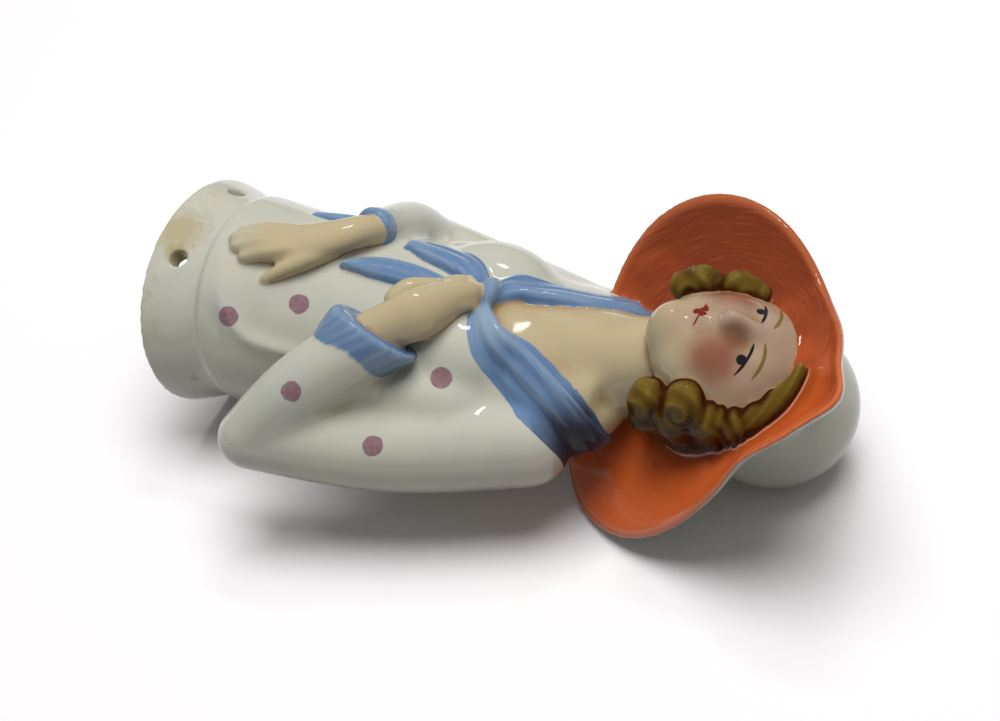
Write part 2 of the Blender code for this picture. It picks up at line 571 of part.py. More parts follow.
def lay_ribbon(tree, name, points, widths, thickness, lift):
    samples = 24
    path = seat(tree, curve_through(points, samples), lift)
    away = path * [1, 1, 0] + np.outer(0.55 * np.maximum(0, path[:, 2] - SHOULDER_HEIGHT * 0.892),
                                       [0, 0, 1])
    wide = curve_through(np.column_stack([widths]), samples)[:, 0]
    return sweep(name, path, away, wide, np.full(samples, thickness), samples * 2, FOLD_DEPTH)


def make_scarf(tree):
    yield ball("knot", on_body(4, KNOT_HEIGHT / TORSO_HEIGHT, 1.2), np.array([0.5, 0.42, 0.63]) * KNOT_SIZE)
    near = [at(0.1097, 0.468, 0.72), at(0.2645, 0.384, 0.7714), at(0.3742, 0.24, 0.8714),
            at(0.4258, 0.04, 0.9486),
            at(0.3806, -0.2, 0.98), at(0.2258, -0.36, 0.9857), at(0, -0.416, 0.9914)]
    widths = np.array([0.25, 0.73, 0.93, 1.0, 0.83, 0.67, 0.6]) * STRAP_WIDTH
    yield lay_ribbon(tree, "strap", near, widths, STRAP_THICKNESS, 0.1)
    far = [at(-0.0516, 0.476, 0.72), at(-0.2516, 0.36, 0.8071), at(-0.329, 0.276, 0.8971),
           at(-0.3742, 0.08, 0.9571),
           at(-0.3387, -0.16, 0.98), at(-0.2097, -0.344, 0.9886), at(0, -0.416, 0.9914)]
    widths = np.array([0.45, 0.73, 0.88, 1.0, 1.0, 0.95, 0.9]) * FAR_STRAP_WIDTH
    yield lay_ribbon(tree, "strap", far, widths, STRAP_THICKNESS * 0.85, 0.1)
    left = [on_body(6, 0.693, 1), on_body(6.7, 0.596, 1), on_body(5.9, 0.526, 1), on_body(6.8, 0.464, 1),
            on_body(9.6, 0.403, 1)]
    yield lay_ribbon(tree, "tail", left, np.array([0.65, 0.7, 0.87, 0.87, 0.22]) * TAIL_WIDTH,
                     STRAP_THICKNESS * 0.92, 0.45)
    right = [on_body(-4, 0.711, 1), on_body(-17, 0.669, 1), on_body(-25.5, 0.604, 1),
             on_body(-28.5, 0.537, 1), on_body(-31, 0.463, 1)]
    yield lay_ribbon(tree, "tail", right, np.array([0.65, 0.96, 1.13, 1.04, 0.39]) * TAIL_WIDTH,
                     STRAP_THICKNESS * 0.85, 0.4)
    fold = [on_body(-13, 0.66, 1), on_body(-19, 0.593, 1), on_body(-23, 0.536, 1), on_body(-26.5, 0.494, 1)]
    yield lay_ribbon(tree, "fold", fold, np.array([0.3, 0.57, 0.61, 0.22]) * TAIL_WIDTH,
                     STRAP_THICKNESS * 0.62, 0.1)


def cavity():
    """The hollow of the casting, open at the base, a wall's width inside."""
    tilt = radians(BASE_TILT)
    around = 28
    low = [[up * cos(tilt), RIM_WIDTH / 2 - WALL - shrink, RIM_DEPTH / 2 - WALL - shrink,
            RIM_DEPTH / 2 - WALL - shrink, up * sin(tilt), tilt, HIP_SWAY * max(0, up) / FLANGE_HEIGHT]
           for up, shrink in ((-6, 0), (0, 0), (5, 1.6), (10, 2.4))]
    rows = curve_through(body_sections(), 40)
    rows = rows[(rows[:, 0] > HIP_HEIGHT - 2) & (rows[:, 0] < CHEST_HEIGHT - 1)]
    rows[:, 1:4] -= WALL * 1.15
    top = rows[-1].copy()
    top[0] += 2.5
    top[1:4] *= 0.55
    rows = np.vstack([low, rows[::3], top])
    return loft("cavity", [body_ring(*row[1:], row[0], around) for row in rows])


def base_box():
    """Block below the tilted base plane, which trims the rim flat."""
    skin = bmesh.new()
    bmesh.ops.create_cube(skin, size=1)
    size = RIM_WIDTH * 2
    matrix = (Matrix.Rotation(radians(BASE_TILT), 4, "X")
              @ Matrix.Translation((0, 0, -size / 2)) @ Matrix.Diagonal((size, size, size, 1)))
    bmesh.ops.transform(skin, matrix=matrix, verts=skin.verts)
    mesh = bpy.data.meshes.new("base_trim")
    skin.to_mesh(mesh)
    skin.free()
    return bpy.data.objects.new("base_trim", mesh)


def sew_hole(name, angle):
    """Round cutter through the flange wall, square to it."""
    tilt = radians(BASE_TILT)
    a = radians(angle)
    skin = bmesh.new()
    bmesh.ops.create_cone(skin, cap_ends=True, segments=16, radius1=HOLE_DIAMETER / 2,
                          radius2=HOLE_DIAMETER / 2, depth=WALL * 4)
    out = Vector((sin(a) * RIM_WIDTH / 2, -cos(a) * RIM_DEPTH / 2, HOLE_HEIGHT))
    aim = Vector((sin(a) / RIM_WIDTH, -cos(a) / RIM_DEPTH, 0)).to_track_quat("Z", "Y").to_matrix()
    matrix = Matrix.Rotation(tilt, 4, "X") @ Matrix.Translation(out) @ aim.to_4x4()
    bmesh.ops.transform(skin, matrix=matrix, verts=skin.verts)
    mesh = bpy.data.meshes.new(name)
    skin.to_mesh(mesh)
    skin.free()
    return bpy.data.objects.new(name, mesh)


def apply_modifiers(thing):
    bpy.context.view_layer.update()
    graph = bpy.context.evaluated_depsgraph_get()
    mesh = bpy.data.meshes.new_from_object(thing.evaluated_get(graph))
    thing.modifiers.clear()
    thing.data = mesh


def fill_hollows(mesh, rounds):
    """Glaze gathers in hollow places: move those towards their neighbours' mean, at last all."""
    points = np.empty(len(mesh.vertices) * 3)
    mesh.vertices.foreach_get("co", points)
    points = points.reshape(-1, 3)
    normals = np.empty(len(points) * 3)
    edges = np.empty(len(mesh.edges) * 2, int)
    mesh.edges.foreach_get("vertices", edges)
    first, second = edges[::2], edges[1::2]
    count = np.bincount(edges, minlength=len(points))[:, None]
    for turn in range(rounds + PLAIN_ROUNDS):
        if turn % 6 == 0:
            mesh.vertices.foreach_set("co", points.ravel())
            mesh.update()
            mesh.vertex_normals.foreach_get("vector", normals)
        near = np.stack([np.bincount(first, points[second, k], len(points))
                         + np.bincount(second, points[first, k],
                                       len(points)) for k in range(3)], -1) / count
        move = near - points
        if turn < rounds:
            move *= ((move * normals.reshape(-1, 3)).sum(1) > 0)[:, None]
        points = points + move * 0.6
    mesh.vertices.foreach_set("co", points.ravel())
    mesh.update()


def fuse(pieces, name, voxel, rounds):
    """One skin over all the overlapping pieces, its hollows filled by so many rounds."""
    skin = bmesh.new()
    for piece in pieces:
        skin.from_mesh(piece.data)
        bpy.data.objects.remove(piece)
    mesh = bpy.data.meshes.new(name)
    skin.to_mesh(mesh)
    skin.free()
    fused = bpy.data.objects.new(name, mesh)
    bpy.context.scene.collection.objects.link(fused)
    remesh = fused.modifiers.new("fuse", "REMESH")
    remesh.mode = "VOXEL"
    remesh.voxel_size = voxel
    apply_modifiers(fused)
    fill_hollows(fused.data, rounds)
    return fused


def porcelain():
    material = bpy.data.materials.new("white_porcelain")
    material.use_nodes = True
    shader = material.node_tree.nodes["Principled BSDF"]
    shader.inputs["Base Color"].default_value = BISQUE
    shader.inputs["Roughness"].default_value = 0.12
    shader.inputs["Metallic"].default_value = 0.0
    return material


def laid_down(thing):
    """The turn that lays the standing figure on her back, base at -X, lowest point at z 0."""
    on_back = Matrix(((0, 0, 1, 0), (-1, 0, 0, 0), (0, -1, 0, 0), (0, 0, 0, 1)))
    roll = Matrix.Rotation(radians(-LYING_ROLL), 4, "X")
    pitch = Matrix.Rotation(radians(-LYING_PITCH), 4, "Y")
    turn = Matrix.Scale(MM, 4) @ roll @ pitch @ on_back
    corners = np.empty(len(thing.data.vertices) * 3)
    thing.data.vertices.foreach_get("co", corners)
    corners = corners.reshape(-1, 3) @ np.array(turn.to_3x3()).T
    low, high = corners.min(0), corners.max(0)
    return Matrix.Translation((-(low[0] + high[0]) / 2, -(low[1] + high[1]) / 2, -low[2])) @ turn


def main():
    for thing in list(bpy.data.objects):
        bpy.data.objects.remove(thing, do_unlink=True)
    doll = bpy.data.collections.new("pincushion_doll")
    cutters = bpy.data.collections.new("cutters")
    bpy.context.scene.collection.children.link(doll)
    bpy.context.scene.collection.children.link(cutters)

    body = fuse([*make_torso(), make_neck(), *make_chest(), *make_left_arm(), *make_right_arm()],
                "body", CLAY_VOXEL, BODY_ROUNDS)
    tree = BVHTree.FromPolygons([v.co[:] for v in body.data.vertices],
                                [p.vertices[:] for p in body.data.polygons])
    hat = fuse([make_brim(), make_crown()], "hat", CLAY_VOXEL, HAT_ROUNDS)
    hair = fuse(list(make_hair()), "hair", CLAY_VOXEL, HAIR_ROUNDS)
    small = [make_flange(), make_head(), *make_left_cuff(), *make_right_cuff(), *make_left_hand(),
             *make_right_hand()]
    casting = fuse([body, hat, hair, *small, *make_scarf(tree)], "doll_casting", MESH_VOXEL, 1)
    bpy.context.scene.collection.objects.unlink(casting)
    doll.objects.link(casting)
    casting.data.materials.append(porcelain())

    soften = casting.modifiers.new("soften", "SMOOTH")
    soften.factor = 0.5
    soften.iterations = 2
    thin = casting.modifiers.new("thin", "DECIMATE")
    thin.ratio = MESH_TRIANGLES / (2 * len(casting.data.polygons))
    apply_modifiers(casting)

    tools = [base_box(), cavity()]
    tools += [sew_hole("sew_hole", angle) for angle in (-HOLE_ANGLE, HOLE_ANGLE, 180 - HOLE_ANGLE,
                                                        180 + HOLE_ANGLE)]
    for tool in tools:
        cutters.objects.link(tool)
        tool.hide_render = True
        tool.display_type = "WIRE"
        cut = casting.modifiers.new("cut", "BOOLEAN")
        cut.operation = "DIFFERENCE"
        cut.object = tool
        cut.solver = "EXACT"
    apply_modifiers(casting)
    turn = laid_down(casting)
    for thing in [casting, *tools]:
        thing.data.transform(turn)


main()
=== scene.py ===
import json
from math import cos, pi, radians, sin

import bpy
import numpy as np
from mathutils import Matrix, Vector
from mathutils.bvhtree import BVHTree
from mathutils.kdtree import KDTree


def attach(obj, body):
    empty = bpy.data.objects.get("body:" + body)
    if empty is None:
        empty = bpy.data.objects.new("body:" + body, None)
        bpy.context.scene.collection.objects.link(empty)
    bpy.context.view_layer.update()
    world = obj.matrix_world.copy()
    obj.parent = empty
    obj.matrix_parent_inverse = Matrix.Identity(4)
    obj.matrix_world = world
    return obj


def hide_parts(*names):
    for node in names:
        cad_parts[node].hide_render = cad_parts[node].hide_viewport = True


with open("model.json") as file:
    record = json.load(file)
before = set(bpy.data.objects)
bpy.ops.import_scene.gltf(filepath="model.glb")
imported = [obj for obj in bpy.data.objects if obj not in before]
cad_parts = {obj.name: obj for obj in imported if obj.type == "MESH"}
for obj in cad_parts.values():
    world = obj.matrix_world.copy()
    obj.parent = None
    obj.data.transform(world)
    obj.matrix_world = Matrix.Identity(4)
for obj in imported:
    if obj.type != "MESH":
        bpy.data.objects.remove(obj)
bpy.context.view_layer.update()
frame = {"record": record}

# Everything is worked out in millimetres with the figure standing:
# x to her left, y to her back, z up. She is laid down at the very end.
mm = 0.001

lying = {"pitch": 0.5, "roll": 3.0, "mountSide": 18.05}

base = {"rimWidth": 39.2, "rimDepth": 32.6, "neckWidth": 33.8, "neckDepth": 28.6,
        "height": 10.4, "tilt": 8.9, "wall": 3.0,
        "holeWidth": 2.8, "holeHeight": 4.4, "holeAngle": 28.5}

# height, width, depth, share of the depth in front, forward shift, tilt share, sway
bodice = {"hemRound": 1.3, "hipSway": 1.4,
          "hem": (10.3, 34.4, 31.4, 0.50, 1.6, 1.0, 1.0),
          "hip": (17.0, 33.2, 29.4, 0.51, 1.3, 0.6, 1.0),
          "waist": (30.0, 30.4, 25.6, 0.53, 0.5, 0.0, 0.5),
          "bust": (46.0, 31.0, 25.0, 0.48, 0.0, 0.0, 0.0),
          "chest": (57.0, 31.0, 21.0, 0.46, 0.0, 0.0, 0.0),
          "shoulder": (65.0, 31.0, 16.0, 0.46, 0.0, 0.0, 0.0),
          "neck": (70.0, 21.0, 12.6, 0.50, 1.0, 0.0, 0.0)}

head = {"side": -0.7, "forward": 5.3, "height": 87.7, "turn": 7.9, "back": 16.4, "lean": -3.6}

hat = {"side": -1.6, "forward": 3.9, "height": 84.7, "turn": 30.6, "tilt": 28.1, "roll": 20.6,
       "radius": 24.75, "thick": 1.7, "drop": 2.4, "lobe": 3.4, "flare": 1.4, "wave": 4.6, "ripple": 1.1,
       "openWidth": 24.4, "openHeight": 30.0, "crownRadius": 12.6, "crownReach": 12.5, "crownLift": 1.8,
       "crownSide": 0.9, "dip": 1.1, "beadAndHighlight": 0.35,
       "corner": (60.0, 8.5, 2.8), "bay": (27.0, 17.0, -2.6)}

finish = {"voxel": 0.28, "triangles": 190000, "fill": 3, "smooth": 2}


def report(stage):
    print("scene:", stage)


def curveThrough(points, count):
    # Catmull-Rom: each stretch is a cubic set by the points before, at and after its ends
    p = np.asarray(points, float)
    last = len(p) - 1
    t = np.linspace(0, last, count)
    i = np.minimum(t.astype(int), last - 1)
    f = (t - i)[:, None]
    a, b, c, d = (p[np.clip(i + k, 0, last)] for k in (-1, 0, 1, 2))
    return b + f / 2 * (c - a + f * (2 * a - 5 * b + 4 * c - d + f * (3 * (b - c) + d - a)))


def unit(v):
    return v / np.maximum(np.linalg.norm(v, axis=-1, keepdims=True), 1e-9)


def bodiceRows():
    rows = []
    for part in ("hem", "hip", "waist", "bust", "chest", "shoulder", "neck"):
        height, width, depth, front, shift, tilt, sway = bodice[part]
        rows.append([height, width / 2, depth * front, depth * (1 - front), shift,
                     radians(base["tilt"]) * tilt, bodice["hipSway"] * sway])
    return curveThrough(rows, 90)


bodyRows = bodiceRows()


def onBody(angle, height, lift):
    # point on the bodice, angle from the front to her left in degrees, lifted off it
    half, front, back, shift, _, sway = (np.interp(height, bodyRows[:, 0], bodyRows[:, k])
                                         for k in range(1, 7))
    a = radians(angle)
    depth = front if cos(a) > 0 else back
    reach = 1 / np.hypot(sin(a) / half, cos(a) / depth) + lift
    return np.array([sway + reach * sin(a), -shift - reach * cos(a), height])


def headTurn():
    turn = Matrix.Rotation(radians(head["turn"]), 3, "Z")
    back = Matrix.Rotation(radians(-head["back"]), 3, "X")
    lean = Matrix.Rotation(radians(head["lean"]), 3, "Y")
    return np.array(turn @ back @ lean)


headAxes = headTurn()
headCentre = np.array([head["side"], -head["forward"], head["height"]])


def inHead(side, forward, up):
    # millimetres along the head's own axes: to her left, forward and up
    return headCentre + headAxes @ np.array([side, -forward, up])


def hatFrame():
    turn, tilt, roll = (radians(hat[k]) for k in ("turn", "tilt", "roll"))
    opening = np.array([sin(turn) * cos(tilt), -cos(turn) * cos(tilt), -sin(tilt)])
    side = np.array([cos(turn), sin(turn), 0])
    up = np.cross(opening, side)
    centre = np.array([hat["side"], -hat["forward"], hat["height"]])
    return centre, cos(roll) * side + sin(roll) * up, cos(roll) * up - sin(roll) * side, opening


hatCentre, hatSide, hatUp, hatOpening = hatFrame()


# each skin is a closed grid of points with its faces, a paint group and brush directions
skins = []
clayNow = "body"


def addSkin(name, group, rings, along=None):
    # closed rings stacked along a piece, with a pole at each end
    count, around, _ = rings.shape
    if along is None:
        step = np.linalg.norm(np.diff(rings.mean(1), axis=0), axis=1)
        along = np.concatenate([[0], np.cumsum(step)])
    across = np.linspace(0, 1, around, endpoint=False)
    span = np.linalg.norm(rings - np.roll(rings, 1, axis=1), axis=2).sum(1)
    flow = np.stack([np.repeat(along[:, None], around, 1), across[None] * span[:, None],
                     np.full((count, around), float(len(skins)))], -1)
    points = np.concatenate([rings.reshape(-1, 3), rings[:1].mean(1), rings[-1:].mean(1)])
    flow = np.concatenate([flow.reshape(-1, 3), flow[0].mean(0)[None], flow[-1].mean(0)[None]])
    r, k = np.meshgrid(np.arange(count - 1), np.arange(around), indexing="ij")
    n = (k + 1) % around
    faces = np.stack([r * around + k, r * around + n, (r + 1) * around + n, (r + 1) * around + k], -1)
    j = np.arange(around)
    m = (j + 1) % around
    low = np.stack([np.full(around, count * around), m, j], -1)
    high = np.stack([np.full(around, count * around + 1), (count - 1) * around + j,
                     (count - 1) * around + m], -1)
    skins.append({"name": name, "clay": clayNow, "group": group, "points": points, "flow": flow,
                  "faces": faces.reshape(-1, 4).tolist() + low.tolist() + high.tolist()})


def ovalSweep(name, group, points, halfWidths, halfHeights, up, count=36, around=28, power=1.0, fold=None):
    # an oval of given half width and height carried along a smooth path, its ends rounded off
    ups = np.broadcast_to(np.asarray(up, float), (len(points), 3))
    rows = curveThrough(np.column_stack([points, halfWidths, halfHeights, ups]), count)
    path, wide, tall, ups = rows[:, :3], rows[:, 3], rows[:, 4], rows[:, 5:8]
    along = unit(np.gradient(path, axis=0))
    side = unit(np.cross(along, ups))
    top = np.cross(side, along)
    e = np.linspace(0.06, 1, 8)[:-1] * pi / 2

    def cap(i, sign):
        reach = min(wide[i], tall[i])
        centre = path[i] + sign * np.outer(np.cos(e) * reach, along[i])
        return centre, np.sin(e) * wide[i], np.sin(e) * tall[i]

    first, last = cap(0, -1), cap(-1, 1)
    path = np.concatenate([first[0], path, last[0][::-1]])
    wide = np.concatenate([first[1], wide, last[1][::-1]])
    tall = np.concatenate([first[2], tall, last[2][::-1]])
    side = np.concatenate([np.repeat(side[:1], len(e), 0), side, np.repeat(side[-1:], len(e), 0)])
    top = np.concatenate([np.repeat(top[:1], len(e), 0), top, np.repeat(top[-1:], len(e), 0)])
    a = np.linspace(0, 2 * pi, around, endpoint=False)
    x = np.sign(np.cos(a)) * np.abs(np.cos(a)) ** power
    y = np.sign(np.sin(a)) * np.abs(np.sin(a)) ** power
    share = np.linspace(0, 1, len(path))[:, None]
    ridge = 1 if fold is None else 1 + fold(share, np.cos(a)[None])
    rings = (path[:, None] + side[:, None] * (wide[:, None] * x)[..., None]
             + top[:, None] * (tall[:, None] * y * ridge)[..., None])
    addSkin(name, group, rings)


def limb(name, group, points, widths, count=30):
    half = np.asarray(widths) / 2
    along = np.asarray(points[-1], float) - points[0]
    up = np.cross(along, [0.3, 0.5, 0.8])
    ovalSweep(name, group, points, half, half, up, count)


def ball(name, group, centre, radii, axes=None):
    # ellipsoid: radii times the unit sphere, turned onto the given axes
    polar = np.linspace(0.06, pi - 0.06, 24)[:, None]
    a = np.linspace(0, 2 * pi, 36, endpoint=False)[None]
    sphere = np.stack([np.sin(polar) * np.cos(a), np.sin(polar) * np.sin(a),
                       -np.cos(polar) * np.ones_like(a)], -1)
    axes = np.eye(3) if axes is None else axes
    addSkin(name, group, centre + (sphere * radii) @ axes.T)


def bodyRing(half, front, back, shift, tilt, sway, height, around=96):
    a = np.linspace(0, 2 * pi, around, endpoint=False)
    forward = np.where(np.cos(a) > 0, front, back) * np.cos(a)
    return np.column_stack([sway + half * np.sin(a), -shift - forward * cos(tilt),
                            height - forward * sin(tilt)])


def buildFlange():
    tilt = radians(base["tilt"])
    rows = curveThrough([[-4, base["rimWidth"] / 2, base["rimDepth"] / 2],
                         [0, base["rimWidth"] / 2, base["rimDepth"] / 2],
                         [base["height"] * 0.3, base["rimWidth"] / 2 - 0.9, base["rimDepth"] / 2 - 0.7],
                         [base["height"] * 0.78, base["neckWidth"] / 2, base["neckDepth"] / 2],
                         [base["height"] * 1.3, base["neckWidth"] / 2, base["neckDepth"] / 2]], 40)
    sway = bodice["hipSway"] * np.maximum(0, rows[:, 0]) / base["height"]
    addSkin("flange", "white", np.array([
        bodyRing(half, depth, depth, up * sin(tilt), tilt, s, up * cos(tilt))
        for (up, half, depth), s in zip(rows, sway)]))


def buildBody():
    turn = np.linspace(0.1, 0.9, 9) * pi / 2
    hem = np.repeat(bodyRows[:1], len(turn), axis=0)
    hem[:, 0] -= bodice["hemRound"] * (np.cos(turn) - cos(turn[-1]))
    hem[:, 1:4] -= (bodice["hemRound"] * (1 - np.sin(turn)))[:, None]
    rows = np.vstack([hem, bodyRows[1:]])
    addSkin("torso", "white", np.array([bodyRing(*row[1:], row[0]) for row in rows]))
    chin = inHead(-0.3, -0.4, -3.5)
    start = np.array([-0.4, 0.2, 60.0])
    middle = start * 0.42 + chin * 0.58
    limb("neck", "white", [start, (start + middle) / 2, middle, chin], [20.6, 16.6, 14.2, 13.6])
    for side in (-1, 1):
        front = np.interp(47.0, bodyRows[:, 0], bodyRows[:, 2])
        ball("breast", "white", np.array([side * 7.4, -front + 8.0, 47.0]), (8.6, 8.6, 11.0))
        ball("trapeze", "white", np.array([side * 5.4, 1.0, 64.6]), (8.0, 5.6, 8.6))
        ball("shoulder", "white", np.array([side * 13.0 + 0.7, 2.6, 61.4]), (6.3, 6.3, 6.3))
    crease = [onBody(24, 10.5, -0.4), onBody(45, 11.8, -0.3), onBody(57.4, 14, -0.1), onBody(67.5, 18, 0.0),
              onBody(71.4, 27.6, -0.2), onBody(72, 33, -0.8)]
    limb("crease", "white", crease, [1.0, 1.5, 1.7, 1.8, 1.7, 1.0], 40)


# centre and radii of the head's four ovals, then soft dabs of clay, each with side, up, width and height,
# all in the head's own axes
headOvals = [((0, -0.9, 2.4), (10.4, 11.2, 10.6)), ((0, 2.0, -1.0), (10.2, 8.9, 9.8)),
             ((0, 3.3, -6.0), (8.2, 5.8, 6.4)), ((0, 5.0, -9.2), (3.8, 3.7, 3.5))]
headDabs = {"middle": [(0, 3.4, 1.3, 0.35), (0, 1.2, 1.0, 0.8), (0, -0.7, 1.0, 1.3), (0, -2.4, 1.0, 1.9),
                       (0, -5.9, 0.9, 0.45),
                       (0, -7.0, 1.0, 0.55), (0, -8.4, 1.0, -0.55), (0, -11.0, 2.0, 0.9)],
            "sides": [(4.6, 0.4, 1.5, -0.7), (4.5, 1.9, 0.9, 0.35), (4.2, 4.2, 1.6, 0.25),
                      (1.15, -2.9, 0.6, 0.6),
                      (5.0, -3.4, 2.2, 0.55), (2.4, 0.6, 0.9, -0.45), (1.9, -6.3, 0.8, -0.25),
                      (7.3, -7.0, 2.2, -0.3)]}


def buildHead():
    # distance to the skin in each direction: the softened greatest of four ellipsoids, plus the dabs
    polar = np.linspace(0.02, pi - 0.02, 180)[:, None]
    a = np.linspace(0, 2 * pi, 260, endpoint=False)[None]
    ray = np.stack([np.sin(polar) * np.cos(a), np.sin(polar) * np.sin(a),
                    -np.cos(polar) * np.ones_like(a)], -1)
    reach = 0
    for centre, radii in headOvals:
        c, r = np.array(centre), np.array(radii)
        k, m, n = ((ray / r) ** 2).sum(-1), (ray * c / r ** 2).sum(-1), ((c / r) ** 2).sum() - 1
        hit = (m + np.sqrt(np.maximum(m * m - k * n, 0))) / k
        reach = reach + np.where(m * m > k * n, np.maximum(hit, 0.1), 0.1) ** 14
    reach = reach ** (1 / 14)
    skin = ray * reach[..., None]
    dabs = headDabs["middle"] + [(s * x, *rest) for x, *rest in headDabs["sides"] for s in (-1, 1)]
    front = np.clip(skin[..., 1] / 4, 0, 1)
    rise = sum(height * front * np.exp(-((skin[..., 0] - x) ** 2 + (skin[..., 2] - u) ** 2)
                                       / (2 * wide ** 2))
               for x, u, wide, height in dabs)
    skin = ray * (reach + rise)[..., None]
    addSkin("face", "skin", headCentre + (skin * [1, -1, 1]) @ headAxes.T)


# side, forward, up and radius of the curls, in the head's own axes
hair = {"near": [(9.4, 0.6, -10.2, 3.0), (9.6, -2.2, -9.6, 3.2), (9.6, 3.2, -4.9, 3.4),
                 (9.6, -0.2, -5.4, 4.0),
                 (9.4, -1.6, -4.6, 3.7), (9.9, 1.8, -0.8, 3.5), (9.2, -0.4, 0.4, 3.6), (9.5, 2.4, 2.8, 3.1),
                 (8.8, 0.4, 4.0, 3.2)],
        "far": [(-8.6, 4.6, -10.6, 2.3), (-9.3, 6.0, -8.6, 2.4), (-9.4, 5.6, -6.6, 2.2),
                (-9.5, 7.2, -3.2, 2.4),
                (-9.5, 6.2, -0.8, 2.6), (-10.0, 1.4, -8.0, 3.6), (-10.4, 1.4, -2.0, 3.8),
                (-9.8, 2.6, 3.6, 2.8)],
        "band": [(9.9, 1.6, 3.8), (9.3, 4.6, 5.4), (7.8, 7.4, 7.0), (5.6, 9.3, 8.0), (3.0, 10.6, 8.6)],
        "bandWidth": [5.6, 4.4, 3.2, 2.4, 1.4]}


def buildHair():
    for x, f, u, r in hair["near"] + hair["far"]:
        ball("curl", "hair", inHead(x, f, u), (r, r, r * 0.92), headAxes)
    limb("band", "hair", [inHead(*p) for p in hair["band"]], hair["bandWidth"], 50)
    farBand = [(-x, f, u) for x, f, u in hair["band"][:2]]
    limb("band", "hair", [inHead(*p) for p in farBand], [4.2, 1.2], 30)
    for side in (-1, 1):
        back = [(8.0 * side, -1.0, 4.0), (7.8 * side, -4.6, -2.0), (7.4 * side, -6.0, -9.0)]
        limb("nape", "hair", [inHead(*p) for p in back], [7.0, 8.0, 6.0], 30)
    ball("nape", "hair", inHead(0, -6.0, -4.0), (9.6, 6.5, 8.6), headAxes)


def brimEdge(theta):
    radius = hat["radius"] - hat["drop"] * np.sin(theta) + hat["lobe"] * np.cos(3 * theta - radians(165))
    height = (hat["flare"] + hat["wave"] * np.cos(2 * theta - radians(68))
              + hat["ripple"] * np.cos(3 * theta - radians(154)))
    # a tight corner and a shallow bay: bells over the turn, each with a middle, a width and a height
    for middle, wide, rise in (hat["corner"], hat["bay"]):
        off = (np.degrees(theta) - middle + 180) % 360 - 180
        radius = radius + rise * np.exp(-(off / wide) ** 2)
    return radius, height


def brimInner(theta):
    return 1 / np.hypot(np.cos(theta) / (hat["openWidth"] / 2), np.sin(theta) / (hat["openHeight"] / 2))


def brimRise(theta, share, height):
    # rises with the share to the power 1.6, dips before the rolled edge on top,
    # and has a bead round the opening
    out = np.clip(share, 0, 1)
    dip = hat["dip"] * np.clip(np.sin(theta) + 0.35, 0, 1.2) * out ** 2 * (1 - out) * 6.75
    beadAndHighlight = hat["beadAndHighlight"] * np.exp(-((share - 0.2) / 0.06) ** 2)
    return height * np.abs(share) ** 1.6 - dip + beadAndHighlight


def brimPoint(theta, share, lift):
    # from the opening's oval out to the wavy edge
    radius, height = brimEdge(theta)
    inner = brimInner(theta) - 2.5
    r = inner + (radius - inner) * share
    h = brimRise(theta, share, height) + lift
    return (hatCentre + np.outer(r * np.cos(theta), hatSide) + np.outer(r * np.sin(theta), hatUp)
            + np.outer(h, hatOpening))


def buildHat():
    theta = np.linspace(0, 2 * pi, 180, endpoint=False)
    out = np.concatenate([np.linspace(0, 0.93, 22), 0.93 + 0.07 * np.sin(np.linspace(0.2, 1, 5) * pi / 2)])
    lift = np.concatenate([np.ones(22), np.cos(np.linspace(0.2, 1, 5) * pi / 2)]) * hat["thick"] / 2
    under = np.array([brimPoint(theta, s, l) for s, l in zip(out, lift)])
    outer = np.array([brimPoint(theta, s, -l) for s, l in zip(out, lift)])[::-1][1:]
    addSkin("brim", "brim", np.concatenate([under, outer])[::-1])
    steps = np.linspace(0, 1, 40)
    low = np.minimum(steps * 2, 1)
    dome = np.maximum(steps - 0.5, 0) * pi * 0.98
    radius = hat["crownRadius"]
    reach = hat["crownReach"] * low + radius * np.sin(dome) - hat["thick"] * 0.3
    wide = (hat["openWidth"] / 2 + (radius - hat["openWidth"] / 2) * low) * np.cos(dome)
    tall = (hat["openHeight"] / 2 + (radius - hat["openHeight"] / 2) * low ** 0.7) * np.cos(dome)
    rings = (hatCentre + (hatUp * hat["crownLift"] + hatSide * hat["crownSide"]) * steps[:, None, None]
             - hatOpening * reach[:, None, None]
             + (wide[:, None] * np.cos(theta)[None])[..., None] * hatSide
             + (tall[:, None] * np.sin(theta)[None])[..., None] * hatUp)
    addSkin("crown", "brim", rings)


# shoulder, elbow and root of the cuff, widths along both stretches, how far their middles lie off the
# straight line, and the webs that join the arm to the body as centre and radii
leftArm = {"shoulder": (14.7, 2.4, 61.5), "elbow": (28.6, -0.4, 23.2), "root": (17.9, -11.1, 36.4),
           "upperWidths": [12.8, 12.8, 9.6], "sleeveWidths": [9.6, 10.6, 10.8],
           "upperBow": (0.6, 1.2, 0), "sleeveBow": (0.4, -0.8, -0.4),
           "webs": [((14.6, -2.4, 44.5), (6.4, 5.6, 11.0)), ((18.4, -6.4, 35.6), (4.2, 4.2, 5.6))]}

rightArm = {"shoulder": (-12.7, 3.0, 61.2), "elbow": (-21.4, 1.0, 29.4), "root": (-7.4, -13.9, 29.7),
            "upperWidths": [12.2, 11.8, 9.6], "sleeveWidths": [9.2, 7.8, 5.8],
            "upperBow": (-0.6, 1.2, 0), "sleeveBow": (-1.0, -1.2, 0),
            "webs": [((-14.0, -1.0, 42.0), (5.0, 6.0, 13.0))]}


def ovalRings(name, group, centres, firsts, seconds, around=64):
    # rings spanned by two given half axes each, as for a slanted cuff
    a = np.linspace(0, 2 * pi, around, endpoint=False)
    middle, first, second = (np.asarray(v, float)[:, None] for v in (centres, firsts, seconds))
    rings = middle + first * np.cos(a)[None, :, None] + second * np.sin(a)[None, :, None]
    addSkin(name, group, rings)


